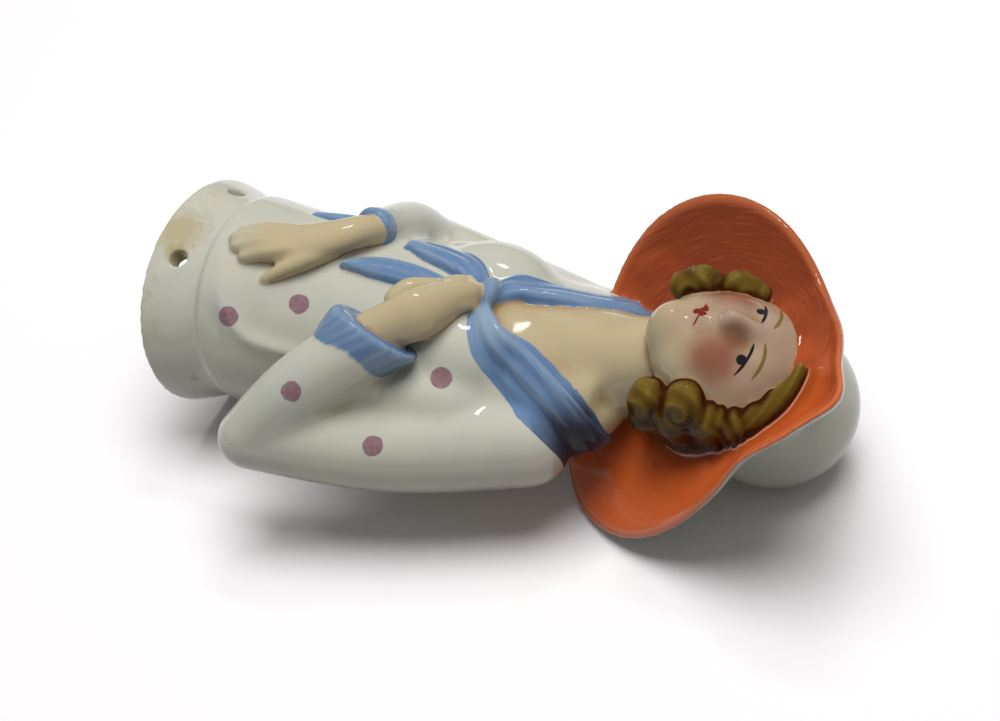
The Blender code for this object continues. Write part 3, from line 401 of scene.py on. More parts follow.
def buildArm(arm):
    shoulder, elbow, root = (np.array(arm[k]) for k in ("shoulder", "elbow", "root"))
    middle = (shoulder + elbow) / 2 + np.array(arm["upperBow"])
    limb("upperArm", "white", [shoulder, middle, elbow], arm["upperWidths"])
    middle = (elbow + root) / 2 + np.array(arm["sleeveBow"])
    limb("sleeve", "white", [elbow, middle, root], arm["sleeveWidths"])
    for centre, radii in arm["webs"]:
        ball("web", "white", np.array(centre), radii)


def buildLeftArm():
    buildArm(leftArm)


# the slanted oval's two axes and the arm's line, the place of the mouth,
# then steps along the arm and the half sizes at each
leftCuff = {"long": (0.03, 0.51, 0.86), "deep": (0.75, -0.50, 0.27), "arm": (-0.56, -0.46, 0.69),
            "mouth": (15.6, -13.2, 38.8), "steps": [-5.2, -4.6, -3.0, -1.2, 0.4, 1.2, 1.5, 1.2],
            "longs": [4.4, 5.6, 6.2, 6.7, 7.1, 7.1, 6.5, 5.0],
            "deeps": [3.8, 4.9, 5.2, 5.3, 5.3, 5.2, 4.6, 3.2]}

rightCuff = {"long": (0.35, 0.15, 1.0), "arm": (2.8, -1.5, -0.8), "mouth": (-5.7, -14.7, 29.2),
             "steps": [-1.7, -1.5, -0.8, 0.2, 1.0, 1.4, 1.5], "reach": [2.2, 2.9, 3.2, 3.3, 3.4, 3.1, 2.4]}


def buildLeftCuff():
    long, deep, arm = (unit(np.array(leftCuff[k])) for k in ("long", "deep", "arm"))
    longs = np.array(leftCuff["longs"])
    middles = leftCuff["mouth"] + np.outer(leftCuff["steps"], arm) - np.outer(longs - 6.5, long) * 0.2
    ovalRings("cuff", "cuff", middles, np.outer(longs, long), np.outer(leftCuff["deeps"], deep))


def buildRightArm():
    buildArm(rightArm)


def buildRightCuff():
    long, arm = (unit(np.array(rightCuff[k])) for k in ("long", "arm"))
    long = unit(long - arm * (long @ arm))
    deep = np.cross(arm, long)
    reach = np.array(rightCuff["reach"])
    middles = rightCuff["mouth"] + np.outer(rightCuff["steps"], arm)
    ovalRings("cuff", "cuff", middles, np.outer(reach, long), np.outer(reach * 0.95, deep))
    strip = [(-7.4, -13.4, 27.6), onBody(-33, 24.5, 0.8), onBody(-31.5, 21.5, 0.5),
             onBody(-28.8, 18.2, 0.2)]
    ovalSweep("cuffPoint", "cuff", strip, [1.9, 1.5, 1.2, 0.4], [1.0, 0.8, 0.6, 0.4], [(-0.4, -0.9, 0)] * 4)


# angle, height and lift on the body of the back of the hand and the thumb, angle and height of each
# fingertip and knuckle, and widths along them
rightHand = {"back": [(-19, 29.6, 1.8), (-12, 28.6, 2.3), (-3.0, 26.4, 2.2), (5.0, 23.0, 1.7),
                      (10.0, 19.4, 1.0), (14.0, 15.8, 0.3)],
             "widths": [2.5, 2.6, 2.9, 3.4, 3.5, 2.8], "depths": [2.3, 2.3, 2.2, 2.0, 1.5, 0.9],
             "tips": ((8.4, 11.6), (13.6, 11.0), (18.6, 11.8), (23.6, 13.8)),
             "knuckles": ((2.4, 19.4), (6.4, 19.6), (10.6, 20.0), (14.6, 20.6)),
             "thumb": [(4, 25.8, 1.2), (16.5, 23.4, 1.3), (26.0, 20.4, 0.7), (33.0, 18.1, -0.1)],
             "thumbWidths": [3.4, 3.0, 2.5, 1.6], "out": (0.25, -1.0, -0.1)}


def buildRightHand():
    out = unit(np.array(rightHand["out"]))
    back = [onBody(*p) for p in rightHand["back"]]
    ovalSweep("palm", "skin", back, rightHand["widths"], rightHand["depths"], out, 40, 32)
    for (tipTurn, tipHigh), (turn, high) in zip(rightHand["tips"], rightHand["knuckles"]):
        points = [onBody(turn, high, 1.9), onBody((turn + tipTurn) / 2, (high + tipHigh) / 2, 1.3),
                  onBody(tipTurn, tipHigh, 0.1)]
        limb("finger", "skin", points, [2.3, 2.5, 2.0])
    thumb = [onBody(*p) for p in rightHand["thumb"]]
    limb("thumb", "skin", thumb, rightHand["thumbWidths"])


def buildLeftHand():
    across = unit(np.array([0.75, -0.50, 0.27]))
    palm = [(15.4, -13.2, 38.4), (12.8, -14.4, 42.0), (10.6, -15.1, 44.8),
            onBody(22, 47.2, 3.4), onBody(14, 48.8, 2.5), onBody(8.5, 49.6, 1.9)]
    ovalSweep("palm", "skin", palm, [3.3, 3.6, 3.8, 2.8, 2.1, 1.4], [2.9, 2.8, 2.6, 2.2, 1.8, 1.3],
              across, 40, 32)
    thumb = [onBody(30, 39.6, 3.6), onBody(22.5, 41.0, 3.2), onBody(15.5, 43.8, 2.5),
             onBody(7.5, 46.4, 2.0), onBody(1.0, 47.6, 1.9)]
    limb("thumb", "skin", thumb, [3.4, 3.7, 2.7, 2.2, 1.7])
    starts = ((14.5, 45.8, 3.5), (19.5, 46.6, 4.2), (25.0, 47.2, 4.2), (30.5, 47.2, 3.5))
    ends = ((5.0, 48.4, 2.3), (9.5, 49.2, 2.6), (14.5, 49.8, 2.6), (19.5, 49.8, 2.1))
    for end, start in zip(ends, starts):
        middle = [(a + b) / 2 for a, b in zip(end, start)]
        middle[2] += 0.4
        limb("finger", "skin", [onBody(*start), onBody(*middle), onBody(*end)], [2.4, 2.3, 1.8])


# the knot's radii and its place on the body; each ribbon's middle line, half widths along it, thickness,
# lift and how many rings it gets; where painted shade darkens the strap's end, and where its blue is thin;
# and the open neck as heights with the angle of each side
scarf = {"knot": (3.1, 2.0, 1.7), "knotPlace": (3.0, 50.6, 0.9),
         "nearStrap": ([(4.0, -12.5, 50.6), (7.4, -11.5, 53.0), (10.0, -10.0, 55.6), (11.3, -8.2, 58.8),
                        (13.0, -6.0, 62.8), (14.2, -3.4, 66.6), (14.2, 0.2, 68.8), (12.2, 5.0, 69.8),
                        (7.5, 9.0, 69.6), (0.0, 10.4, 69.4)],
                       [1.5, 2.3, 3.1, 3.5, 3.7, 3.7, 3.6, 3.6, 3.6, 3.6], 2.4, 0.1, 60),
         "farStrap": ([(0.4, -13.0, 50.8), (-3.2, -12.0, 53.2), (-4.9, -11.0, 56.2), (-6.2, -9.6, 59.4),
                       (-7.1, -8.2, 62.7), (-8.0, -6.4, 65.4), (-9.0, -3.6, 67.8), (-10.0, 0.6, 69.4),
                       (-9.0, 5.4, 69.8), (-5.6, 9.0, 69.6), (0.0, 10.4, 69.4)],
                      [1.6, 2.2, 2.7, 3.1, 3.3, 3.5, 3.6, 3.6, 3.6, 3.6, 3.6], 2.2, 0.1, 60),
         "frontTail": ([(3.6, -13.5, 48.5), (1.9, -13.5, 42.0), (1.7, -13.8, 37.0), (2.3, -14.3, 32.4),
                        (3.6, -14.6, 28.4)],
                       [1.4, 1.9, 2.2, 1.9, 0.6], 2.3, 0.3, 30),
         "sideTail": ([(-0.6, -13.0, 49.0), (-3.2, -12.8, 46.0), (-4.6, -12.8, 42.4), (-5.2, -13.0, 38.8),
                       (-5.3, -13.2, 35.4)],
                      [1.4, 2.3, 2.7, 2.5, 1.2], 2.2, 0.3, 30),
         "paintedShade": (14.2, 0.6, 69.4), "thin": (5.4, -13.2, 54.4),
         "nearSide": ([50.6, 56.9, 63, 67, 69, 71], [15, 49, 70, 95, 125, 200]),
         "farSide": ([50.4, 56.5, 62.8, 67, 68.5, 70.5], [-8, -41, -56, -80, -111, -200])}


ribbons = []


def seatOn(tree, points, lift):
    # drops points onto the body from outside, along lines to the middle of the torso
    seated = []
    for p in points:
        inward = Vector((-p[0], -p[1], -0.55 * max(0.0, p[2] - 58.0))).normalized()
        hit = tree.ray_cast(Vector(p) - inward * 25, inward)
        seated.append(np.array(hit[0] - inward * lift) if hit[0] else np.asarray(p))
    return np.array(seated)


def buildScarf():
    tree = treeOf(lumps["body"])

    def folds(share, x):
        return (0.26 * np.cos(3.2 * pi * x + 2.5 * share)
                + 0.1 * np.cos(7.0 * pi * x - 4 * share)) * np.clip(share * 5, 0, 1)

    def layRibbon(name, points, halfWidths, thick, lift, samples):
        path = curveThrough(points, samples)
        path = seatOn(tree, path, lift)
        path[1:-1] = (path[:-2] + 2 * path[1:-1] + path[2:]) / 4
        away = path * [1, 1, 0] + np.outer(0.55 * np.maximum(0, path[:, 2] - 58.0), [0, 0, 1])
        wide = curveThrough(np.column_stack([halfWidths]), samples)[:, 0]
        line = curveThrough(np.column_stack([path, unit(away), wide]), samples * 6)
        ribbons.append((line[:, :3], unit(line[:, 3:6]), line[:, 6]))
        ovalSweep(name, "blue", path, wide, np.full(samples, thick / 2), unit(away), samples * 2, 40,
                  0.8, folds)

    ball("knot", "blue", onBody(*scarf["knotPlace"]), scarf["knot"])
    for name in ("nearStrap", "farStrap", "frontTail", "sideTail"):
        layRibbon(name, *scarf[name])


def meshFrom(name, some):
    points, faces, flow, offset = [], [], [], 0
    for skin in some:
        points.append(skin["points"])
        flow.append(skin["flow"])
        faces.extend([[i + offset for i in face] for face in skin["faces"]])
        offset += len(skin["points"])
    mesh = bpy.data.meshes.new(name)
    mesh.from_pydata(np.concatenate(points).tolist(), [], faces)
    brush = mesh.attributes.new("flow", "FLOAT_VECTOR", "POINT")
    brush.data.foreach_set("vector", np.concatenate(flow).ravel())
    thing = bpy.data.objects.new(name, mesh)
    bpy.context.scene.collection.objects.link(thing)
    return thing


def applied(thing):
    bpy.context.view_layer.update()
    graph = bpy.context.evaluated_depsgraph_get()
    mesh = bpy.data.meshes.new_from_object(thing.evaluated_get(graph))
    thing.modifiers.clear()
    thing.data = mesh


def addModifier(thing, kind, **settings):
    modifier = thing.modifiers.new(kind.lower(), kind)
    for key, value in settings.items():
        setattr(modifier, key, value)


def loftObject(name, rings):
    before = len(skins)
    addSkin(name, "cut", np.array(rings))
    thing = meshFrom(name, skins[before:])
    del skins[before:]
    return thing


def buildCutters():
    tilt = radians(base["tilt"])
    wall = base["wall"]
    rows = [[up * cos(tilt), base["rimWidth"] / 2 - wall - s, base["rimDepth"] / 2 - wall - s,
             base["rimDepth"] / 2 - wall - s, up * sin(tilt), tilt,
             bodice["hipSway"] * max(0, up) / base["height"]]
            for up, s in ((-6, 0), (0, 0), (5, 1.6), (10, 2.4))]
    inner = bodyRows[(bodyRows[:, 0] > 15) & (bodyRows[:, 0] < 56)].copy()
    inner[:, 1:4] -= wall * 1.15
    top = inner[-1].copy()
    top[0] += 2.5
    top[1:4] *= 0.55
    rows = np.vstack([rows, inner[::6], top])
    cutters = [loftObject("hollow", [bodyRing(*row[1:], row[0], 48) for row in rows])]
    for turn in (-1, 1, 180 / base["holeAngle"] - 1, 180 / base["holeAngle"] + 1):
        a = radians(base["holeAngle"] * turn)
        out = np.array([sin(a) * base["rimWidth"] / 2, -cos(a) * base["rimDepth"] / 2, base["holeHeight"]])
        aim = unit(np.array([sin(a) / base["rimWidth"], -cos(a) / base["rimDepth"], 0]))
        side = np.array([-aim[1], aim[0], 0])
        rise = np.array([0, -sin(tilt), cos(tilt)])
        lean = np.array(Matrix.Rotation(tilt, 3, "X"))
        b = np.linspace(0, 2 * pi, 32, endpoint=False)
        ring = base["holeWidth"] / 2 * (np.outer(np.cos(b), side) + np.outer(np.sin(b), [0, 0, 1]))
        rings = [(out + aim * reach + ring) @ lean.T for reach in (-6, -2, 2, 6)]
        cutters.append(loftObject("sewHole", rings))
    size = base["rimWidth"] * 1.5
    square = np.array([[-1, -1], [1, -1], [1, 1], [-1, 1]]) * size
    lean = np.array(Matrix.Rotation(tilt, 3, "X"))
    rings = [np.column_stack([square, np.full(4, h)]) @ lean.T for h in (-30.0, 0.0)]
    cutters.append(loftObject("baseTrim", rings))
    return cutters


def quadsOf(mesh):
    corners = np.empty(len(mesh.loops), int)
    mesh.loops.foreach_get("vertex_index", corners)
    return corners.reshape(-1, 4)


def edgesOf(mesh):
    edges = np.empty(len(mesh.edges) * 2, int)
    mesh.edges.foreach_get("vertices", edges)
    return edges.reshape(-1, 2)


def pointsOf(mesh):
    points = np.empty(len(mesh.vertices) * 3)
    mesh.vertices.foreach_get("co", points)
    return points.reshape(-1, 3)


def normalsOf(points, quads):
    # each face adds the cross product of its diagonals to its four corners
    face = np.cross(points[quads[:, 2]] - points[quads[:, 0]], points[quads[:, 3]] - points[quads[:, 1]])
    total = np.stack([np.bincount(quads.ravel(), np.repeat(face[:, k], 4), len(points))
                      for k in range(3)], -1)
    return unit(total)


def neighbourMean(edges, values, count):
    total = np.stack([np.bincount(edges[:, 0], values[edges[:, 1], k], len(values))
                      + np.bincount(edges[:, 1], values[edges[:, 0], k], len(values))
                      for k in range(values.shape[1])], -1)
    return total / count


def soften(mesh, fillRounds, plainRounds):
    # a fill round moves only hollow places out towards the mean of their neighbours, a plain one all
    points, quads, edges = pointsOf(mesh), quadsOf(mesh), edgesOf(mesh)
    count = np.bincount(edges.ravel(), minlength=len(points)).astype(float)[:, None]
    for turn in range(fillRounds + plainRounds):
        if turn % 8 == 0:
            normals = normalsOf(points, quads)
        move = neighbourMean(edges, points, count) - points
        if turn < fillRounds:
            move *= ((move * normals).sum(1) > 0)[:, None]
        points = points + move * 0.6
    mesh.vertices.foreach_set("co", points.ravel())
    mesh.update()


clays = {"flange": (0.4, 0, 3), "body": (0.45, 30, 6), "leftCuff": (0.3, 2, 2), "rightCuff": (0.3, 4, 2),
         "head": (0.3, 4, 3), "hair": (0.28, 40, 4), "hat": (0.35, 14, 3), "leftHand": (0.22, 3, 2),
         "rightHand": (0.22, 3, 2), "scarf": (0.25, 4, 2)}


# side, forward, up, reach of each whorl and how deep its grooves are, in the head's own axes
whorls = {"near": [(0.4, -10.6, 3.6), (3.6, -5.2, 4.2), (-2.6, -2.4, 5.6), (-3.0, -8.6, 4.6)],
          "far": [(5.2, -9.8, 3.4), (7.2, -2.4, 3.2), (1.6, -5.0, 5.0)],
          "depth": 0.2, "pitch": 1.5, "bandPitch": 1.15}


def combHair(mesh):
    # grooves wind into each whorl: a wave over the turn plus the distance from the middle
    points, quads = pointsOf(mesh), quadsOf(mesh)
    place = (points - headCentre) @ headAxes * [1, -1, 1]
    wave, closest = np.zeros(len(points)), np.full(len(points), 9.0)
    for side, name in ((1, "near"), (-1, "far")):
        for f, u, reach in whorls[name]:
            x, y = place[:, 1] - f, place[:, 2] - u
            away = np.hypot(x, y)
            here = (place[:, 0] * side > 5.0) & (away / reach < closest)
            closest[here] = (away / reach)[here]
            turned = np.cos(side * np.arctan2(y, x) + 2 * pi * away / whorls["pitch"])
            turned = turned * np.clip(away / 0.8, 0, 1)
            wave[here] = turned[here]
    # along the band the grooves run lengthwise, across its slope
    across = (place[:, 2] - 0.45 * place[:, 1]) * 2 * pi / whorls["bandPitch"]
    onBand = np.clip((place[:, 1] + place[:, 2] - 7.5) / 2.0, 0, 1)
    wave = wave * (1 - onBand) + np.cos(across) * onBand
    # shallower on the underside
    low = np.clip((12.0 - place[:, 0] * 0.75 + place[:, 1] * 0.62) / 3, 0.25, 1)
    points = points + normalsOf(points, quads) * (wave * low * whorls["depth"])[:, None]
    mesh.vertices.foreach_set("co", points.ravel())
    mesh.update()


def fuseClay(label):
    voxel, fillRounds, plainRounds = clays[label]
    mine = [s for s in skins if s["clay"] == label]
    report("%s is made of %s" % (label, ", ".join(dict.fromkeys(s["name"] for s in mine))))
    lump = meshFrom(label, mine)
    addModifier(lump, "REMESH", mode="VOXEL", voxel_size=voxel)
    applied(lump)
    soften(lump.data, fillRounds, plainRounds)
    if label == "hair":
        combHair(lump.data)
    return lump


def treeOf(lump):
    return BVHTree.FromPolygons(pointsOf(lump.data).tolist(), quadsOf(lump.data).tolist())


def joined(name, lumps):
    points, quads, offset = [], [], 0
    for lump in lumps:
        points.append(pointsOf(lump.data))
        quads.append(quadsOf(lump.data) + offset)
        offset += len(points[-1])
    mesh = bpy.data.meshes.new(name)
    mesh.from_pydata(np.concatenate(points), [], np.concatenate(quads))
    thing = bpy.data.objects.new(name, mesh)
    bpy.context.scene.collection.objects.link(thing)
    return thing


def fuseFigure(lumps):
    figure = joined("figure", lumps.values())
    addModifier(figure, "REMESH", mode="VOXEL", voxel_size=finish["voxel"])
    applied(figure)
    report("first skin %d faces" % len(figure.data.polygons))
    cutters = buildCutters()
    for cutter in cutters:
        addModifier(figure, "BOOLEAN", operation="DIFFERENCE", object=cutter, solver="EXACT")
    applied(figure)
    addModifier(figure, "REMESH", mode="VOXEL", voxel_size=finish["voxel"])
    applied(figure)
    soften(figure.data, finish["fill"], finish["smooth"])
    for cutter in cutters:
        bpy.data.objects.remove(cutter)
    faces = 2 * len(figure.data.polygons)
    report("fused skin %d triangles" % faces)
    if faces > finish["triangles"]:
        addModifier(figure, "DECIMATE", ratio=finish["triangles"] / faces)
        applied(figure)
    return figure


report("shapes")
lumps = {}
for clayNow, builders in (("flange", [buildFlange]), ("body", [buildBody, buildLeftArm, buildRightArm]),
                          ("leftCuff", [buildLeftCuff]), ("rightCuff", [buildRightCuff]),
                          ("head", [buildHead]),
                          ("hair", [buildHair]), ("hat", [buildHat]), ("leftHand", [buildLeftHand]),
                          ("rightHand", [buildRightHand]), ("scarf", [buildScarf])):
    for build in builders:
        build()
    lumps[clayNow] = fuseClay(clayNow)
    report("%s %d faces" % (clayNow, len(lumps[clayNow].data.polygons)))
figure = fuseFigure(lumps)


clayPaint = {"flange": "white", "body": "white", "leftCuff": "cuff", "rightCuff": "cuff", "scarf": "blue",
             "head": "skin", "leftHand": "skin", "rightHand": "skin", "hair": "hair", "hat": "brim"}


def nearGroups(figure):
    # each paint group's surface is measured from every point of the fused skin
    for group in ("white", "blue", "cuff", "skin", "hair", "brim"):
        source = meshFrom(group, [s for s in skins if s["group"] == group])
        mine = [lumps[label] for label, paintedAs in clayPaint.items() if paintedAs == group]
        solid = joined(group + "Solid", mine)
        tree = bpy.data.node_groups.new("near" + group, "GeometryNodeTree")
        tree.interface.new_socket("Geometry", in_out="INPUT", socket_type="NodeSocketGeometry")
        tree.interface.new_socket("Geometry", in_out="OUTPUT", socket_type="NodeSocketGeometry")
        start, end = tree.nodes.new("NodeGroupInput"), tree.nodes.new("NodeGroupOutput")
        info = tree.nodes.new("GeometryNodeObjectInfo")
        info.inputs["Object"].default_value = source
        whole = tree.nodes.new("GeometryNodeObjectInfo")
        whole.inputs["Object"].default_value = solid
        near = tree.nodes.new("GeometryNodeProximity")
        near.target_element = "FACES"
        tree.links.new(whole.outputs["Geometry"], near.inputs["Geometry"])
        named = tree.nodes.new("GeometryNodeInputNamedAttribute")
        named.data_type = "FLOAT_VECTOR"
        named.inputs["Name"].default_value = "flow"
        sample = tree.nodes.new("GeometryNodeSampleNearestSurface")
        sample.data_type = "FLOAT_VECTOR"
        tree.links.new(info.outputs["Geometry"], sample.inputs["Mesh"])
        tree.links.new(named.outputs["Attribute"], sample.inputs["Value"])
        previous = start.outputs[0]
        for name, kind, socket in ((group + "Gap", "FLOAT", near.outputs["Distance"]),
                                   (group + "Flow", "FLOAT_VECTOR", sample.outputs["Value"])):
            store = tree.nodes.new("GeometryNodeStoreNamedAttribute")
            store.data_type = kind
            store.inputs["Name"].default_value = name
            tree.links.new(previous, store.inputs["Geometry"])
            tree.links.new(socket, store.inputs["Value"])
            previous = store.outputs["Geometry"]
        tree.links.new(previous, end.inputs[0])
        addModifier(figure, "NODES", node_group=tree)
        applied(figure)
        bpy.data.objects.remove(source)
        bpy.data.objects.remove(solid)
        bpy.data.node_groups.remove(tree)


def readVertices(mesh, name, width):
    values = np.empty(len(mesh.vertices) * width)
    mesh.attributes[name].data.foreach_get("vector" if width == 3 else "value", values)
    return values.reshape(-1, width) if width > 1 else values


def writeVertices(mesh, name, values):
    vector = values.ndim == 2
    old = mesh.attributes.get(name)
    if old:
        mesh.attributes.remove(old)
    made = mesh.attributes.new(name, "FLOAT_VECTOR" if vector else "FLOAT", "POINT")
    made.data.foreach_set("vector" if vector else "value", np.ascontiguousarray(values, np.float32).ravel())


def scarfEdge(points):
    # distance past the edge of the nearest ribbon, or of the knot, below zero on them
    edge = np.linalg.norm((points - onBody(*scarf["knotPlace"])) / scarf["knot"], axis=1) * 2.2 - 2.4
    for path, away, wide in ribbons:
        tree = KDTree(len(path))
        for k, p in enumerate(path):
            tree.insert(p, k)
        tree.balance()
        box = np.all((points > path.min(0) - 9) & (points < path.max(0) + 9), axis=1)
        some = points[box]
        near = np.array([tree.find(p)[1] for p in some])
        step = some - path[near]
        lift = (step * away[near]).sum(1)
        flatGap = np.sqrt(np.maximum((step ** 2).sum(1) - lift ** 2, 0))
        found = flatGap - wide[near] - 0.15 + np.maximum(np.abs(lift) - 2.6, 0) * 2
        edge[box] = np.minimum(edge[box], found)
    return edge


def writePaint(figure):
    # signed distances in millimetres, below zero inside a painted area
    mesh = figure.data
    points = pointsOf(mesh)
    edges = edgesOf(mesh)
    count = np.bincount(edges.ravel(), minlength=len(points)).astype(float)[:, None]
    normals = np.empty(len(points) * 3)
    mesh.vertices.foreach_get("normal", normals)
    normals = normals.reshape(-1, 3)
    gap = {g: readVertices(mesh, g + "Gap", 1) for g in ("white", "blue", "cuff", "skin", "hair", "brim")}
    angle = np.degrees(np.arctan2(points[:, 0], -points[:, 1]))
    high = points[:, 2]
    nearSide = np.interp(high, *scarf["nearSide"])
    farSide = np.interp(high, *scarf["farSide"])
    shoulder = np.abs(points[:, 0]) - 11.6
    vee = np.maximum.reduce([(angle - nearSide) * 0.2, (farSide - angle) * 0.2, 50.6 - high,
                             np.where(high > 63, shoulder, -9.0)])
    for group in ("cuff", "hair", "brim", "skin"):
        others = np.minimum.reduce([gap[o] for o in gap if o != group])
        writeVertices(mesh, group + "Edge", gap[group] - others)
    others = np.minimum.reduce([gap["skin"], gap["hair"], gap["brim"]])
    ribbon = np.maximum(scarfEdge(points), gap["blue"] - others)
    cuffEdge = readVertices(mesh, "cuffEdge", 1)
    writeVertices(mesh, "blueEdge", np.minimum(ribbon, cuffEdge))
    onCuff = (gap["cuff"] < gap["blue"])[:, None]
    writeVertices(mesh, "blueFlow", np.where(onCuff, readVertices(mesh, "cuffFlow", 3),
                                             readVertices(mesh, "blueFlow", 3)))
    own = gap["skin"] - np.minimum.reduce([gap["white"], gap["blue"], gap["cuff"], gap["hair"],
                                           gap["brim"]])
    chest = np.maximum(vee, gap["white"] - 0.5)
    away = points - hatCentre
    local = np.stack([away @ hatSide, away @ hatUp, away @ hatOpening], -1)
    # the crown stays white where the head or the hair lies just under it
    nearAxis = np.hypot(local[:, 0], local[:, 1]) < hat["crownRadius"] + 3.5
    crown = (local[:, 2] < -2.0) & nearAxis & (gap["brim"] < 1.6)
    writeVertices(mesh, "skinEdge", np.where(crown, 1.0, np.minimum(own, chest)))
    writeVertices(mesh, "hairEdge", np.where(crown, 1.0, readVertices(mesh, "hairEdge", 1)))
    writeVertices(mesh, "brimEdge", np.where(crown, -1.0, readVertices(mesh, "brimEdge", 1)))
    theta = np.arctan2(local[:, 1], local[:, 0])
    radius, height = brimEdge(theta)
    inner = brimInner(theta) - 2.5
    share = (np.hypot(local[:, 0], local[:, 1]) - inner) / (radius - inner)
    local[:, 2] -= brimRise(theta, share, height)
    writeVertices(mesh, "hatPlace", local)
    writeVertices(mesh, "brimShare", share)
    face = (points - headCentre) @ headAxes * [1, -1, 1]
    writeVertices(mesh, "facePlace", face)
    writeVertices(mesh, "standing", points)
    smooth = points
    for turn in range(25):
        smooth = (smooth + neighbourMean(edges, smooth, count)) / 2
        if turn in (3, 24):
            depth = ((smooth - points) * normals).sum(1)[:, None]
            depth = neighbourMean(edges, neighbourMean(edges, depth, count), count)[:, 0]
            writeVertices(mesh, "fineHollow" if turn == 3 else "broadHollow", depth)
    for name in list(mesh.attributes.keys()):
        if name.endswith("Gap") or name in ("flow", "skinFlow", "whiteFlow", "brimFlow", "cuffFlow"):
            mesh.attributes.remove(mesh.attributes[name])


class Field:
    # a shader value: a sum written with it becomes Math nodes
    def __init__(self, tree, socket):
        self.tree, self.socket = tree, socket

    def __add__(self, other):
        return mathNode(self.tree, "ADD", self, other)

    def __radd__(self, other):
        return mathNode(self.tree, "ADD", self, other)

    def __sub__(self, other):
        return mathNode(self.tree, "SUBTRACT", self, other)

    def __rsub__(self, other):
        return mathNode(self.tree, "SUBTRACT", other, self)

    def __mul__(self, other):
        return mathNode(self.tree, "MULTIPLY", self, other)

    def __rmul__(self, other):
        return mathNode(self.tree, "MULTIPLY", self, other)

    def __truediv__(self, other):
        return mathNode(self.tree, "DIVIDE", self, other)


def mathNode(tree, kind, *values):
    node = tree.nodes.new("ShaderNodeMath")
    node.operation = kind
    for slot, value in zip(node.inputs, values):
        if isinstance(value, Field):
            tree.links.new(value.socket, slot)
        else:
            slot.default_value = value
    return Field(tree, node.outputs[0])


def absolute(a):
    return mathNode(a.tree, "ABSOLUTE", a)


def lesser(a, b):
    return mathNode(a.tree, "MINIMUM", a, b)


def greater(a, b):
    return mathNode(a.tree, "MAXIMUM", a, b)


def ramp(a, low, high):
    # 0 below low and 1 above high, or the other way round when low is above high
    node = a.tree.nodes.new("ShaderNodeMapRange")
    node.interpolation_type = "SMOOTHSTEP"
    a.tree.links.new(a.socket, node.inputs["Value"])
    rising = low < high
    node.inputs["From Min"].default_value = low if rising else high
    node.inputs["From Max"].default_value = high if rising else low
    node.inputs["To Min"].default_value = 0 if rising else 1
    node.inputs["To Max"].default_value = 1 if rising else 0
    return Field(a.tree, node.outputs["Result"])


def stored(tree, name):
    node = tree.nodes.new("ShaderNodeAttribute")
    node.attribute_name = name
    return node


def value(tree, name):
    return Field(tree, stored(tree, name).outputs["Fac"])


def parts(tree, name):
    node = tree.nodes.new("ShaderNodeSeparateXYZ")
    tree.links.new(stored(tree, name).outputs["Vector"], node.inputs[0])
    return [Field(tree, s) for s in node.outputs]


def combined(tree, *three):
    node = tree.nodes.new("ShaderNodeCombineXYZ")
    for slot, v in zip(node.inputs, three):
        if isinstance(v, Field):
            tree.links.new(v.socket, slot)
        else:
            slot.default_value = v
    return node.outputs[0]


def flat(tree, across, up):
    return combined(tree, across, up, 0.0)


def noise(tree, vector, scale, detail=2.0):
    # mottling from -1 to 1
    node = tree.nodes.new("ShaderNodeTexNoise")
    tree.links.new(vector, node.inputs["Vector"])
    node.inputs["Scale"].default_value = scale
    node.inputs["Detail"].default_value = detail
    return (Field(tree, node.outputs["Fac"]) - 0.5) * 2.0


def tint(colour):
    # a colour written as it looks, from 0 to 255
    c = np.array(colour) / 255
    return tuple(np.where(c <= 0.04045, c / 12.92, ((c + 0.055) / 1.055) ** 2.4)) + (1.0,)


def blend(tree, share, under, over):
    node = tree.nodes.new("ShaderNodeMix")
    node.data_type = "RGBA"
    tree.links.new(share.socket, node.inputs["Factor"])
    for slot, colour in ((node.inputs[6], under), (node.inputs[7], over)):
        if isinstance(colour, tuple):
            slot.default_value = colour
        else:
            tree.links.new(colour, slot)
    return node.outputs[2]


def distanceTo(tree, vector, point):
    node = tree.nodes.new("ShaderNodeVectorMath")
    node.operation = "DISTANCE"
    tree.links.new(vector, node.inputs[0])
    node.inputs[1].default_value = tuple(point)
    return Field(tree, node.outputs["Value"])


paint = {"white": (200, 198, 181), "whiteCool": (192, 193, 182), "whiteWarmShade": (196, 189, 160),
         "blue": (100, 130, 168), "bluePale": (150, 172, 190), "blueDeep": (58, 76, 110),
         "indigoShade": (44, 38, 50),
         "skin": (192, 176, 140), "skinDeep": (158, 124, 80), "blush": (140, 74, 50),
         "faceWhite": (176, 150, 126),
         "hair": (104, 82, 28), "hairDeep": (58, 24, 6), "hairPale": (146, 126, 60),
         "orange": (222, 102, 46), "orangeDeep": (126, 52, 22), "orangePale": (214, 118, 74),
         "orangeDark": (110, 40, 14),
         "dot": (134, 88, 104), "mouth": (122, 16, 10), "lash": (28, 24, 24), "brow": (122, 104, 44),
         "beadAndHighlight": (196, 160, 140), "noseShade": (126, 78, 50),
         "stain": (168, 146, 84), "speck": (96, 70, 46)}

# side, forward and up in the head's own axes: where each feature is painted, in millimetres
features = {"near": {"pupil": (4.5, 0.55), "lash": (2.6, 1.5, 0.07), "lashFrom": 2.0, "lashTo": 6.8,
                     "brow": (3.8, 3.45, 0.1), "browFrom": 1.5, "browTo": 6.5},
            "far": {"pupil": (4.5, 1.0), "lash": (3.6, 1.7, 0.06), "lashFrom": 1.8, "lashTo": 6.6,
                    "brow": (4.4, 3.9, 0.06), "browFrom": 1.6, "browTo": 7.2},
            "mouth": (-0.7, -6.85), "cheekNear": (5.4, 9.2, -3.2), "cheekFar": (-6.0, 8.4, -3.2),
            "nose": (1.9, 11.2, -1.5)}

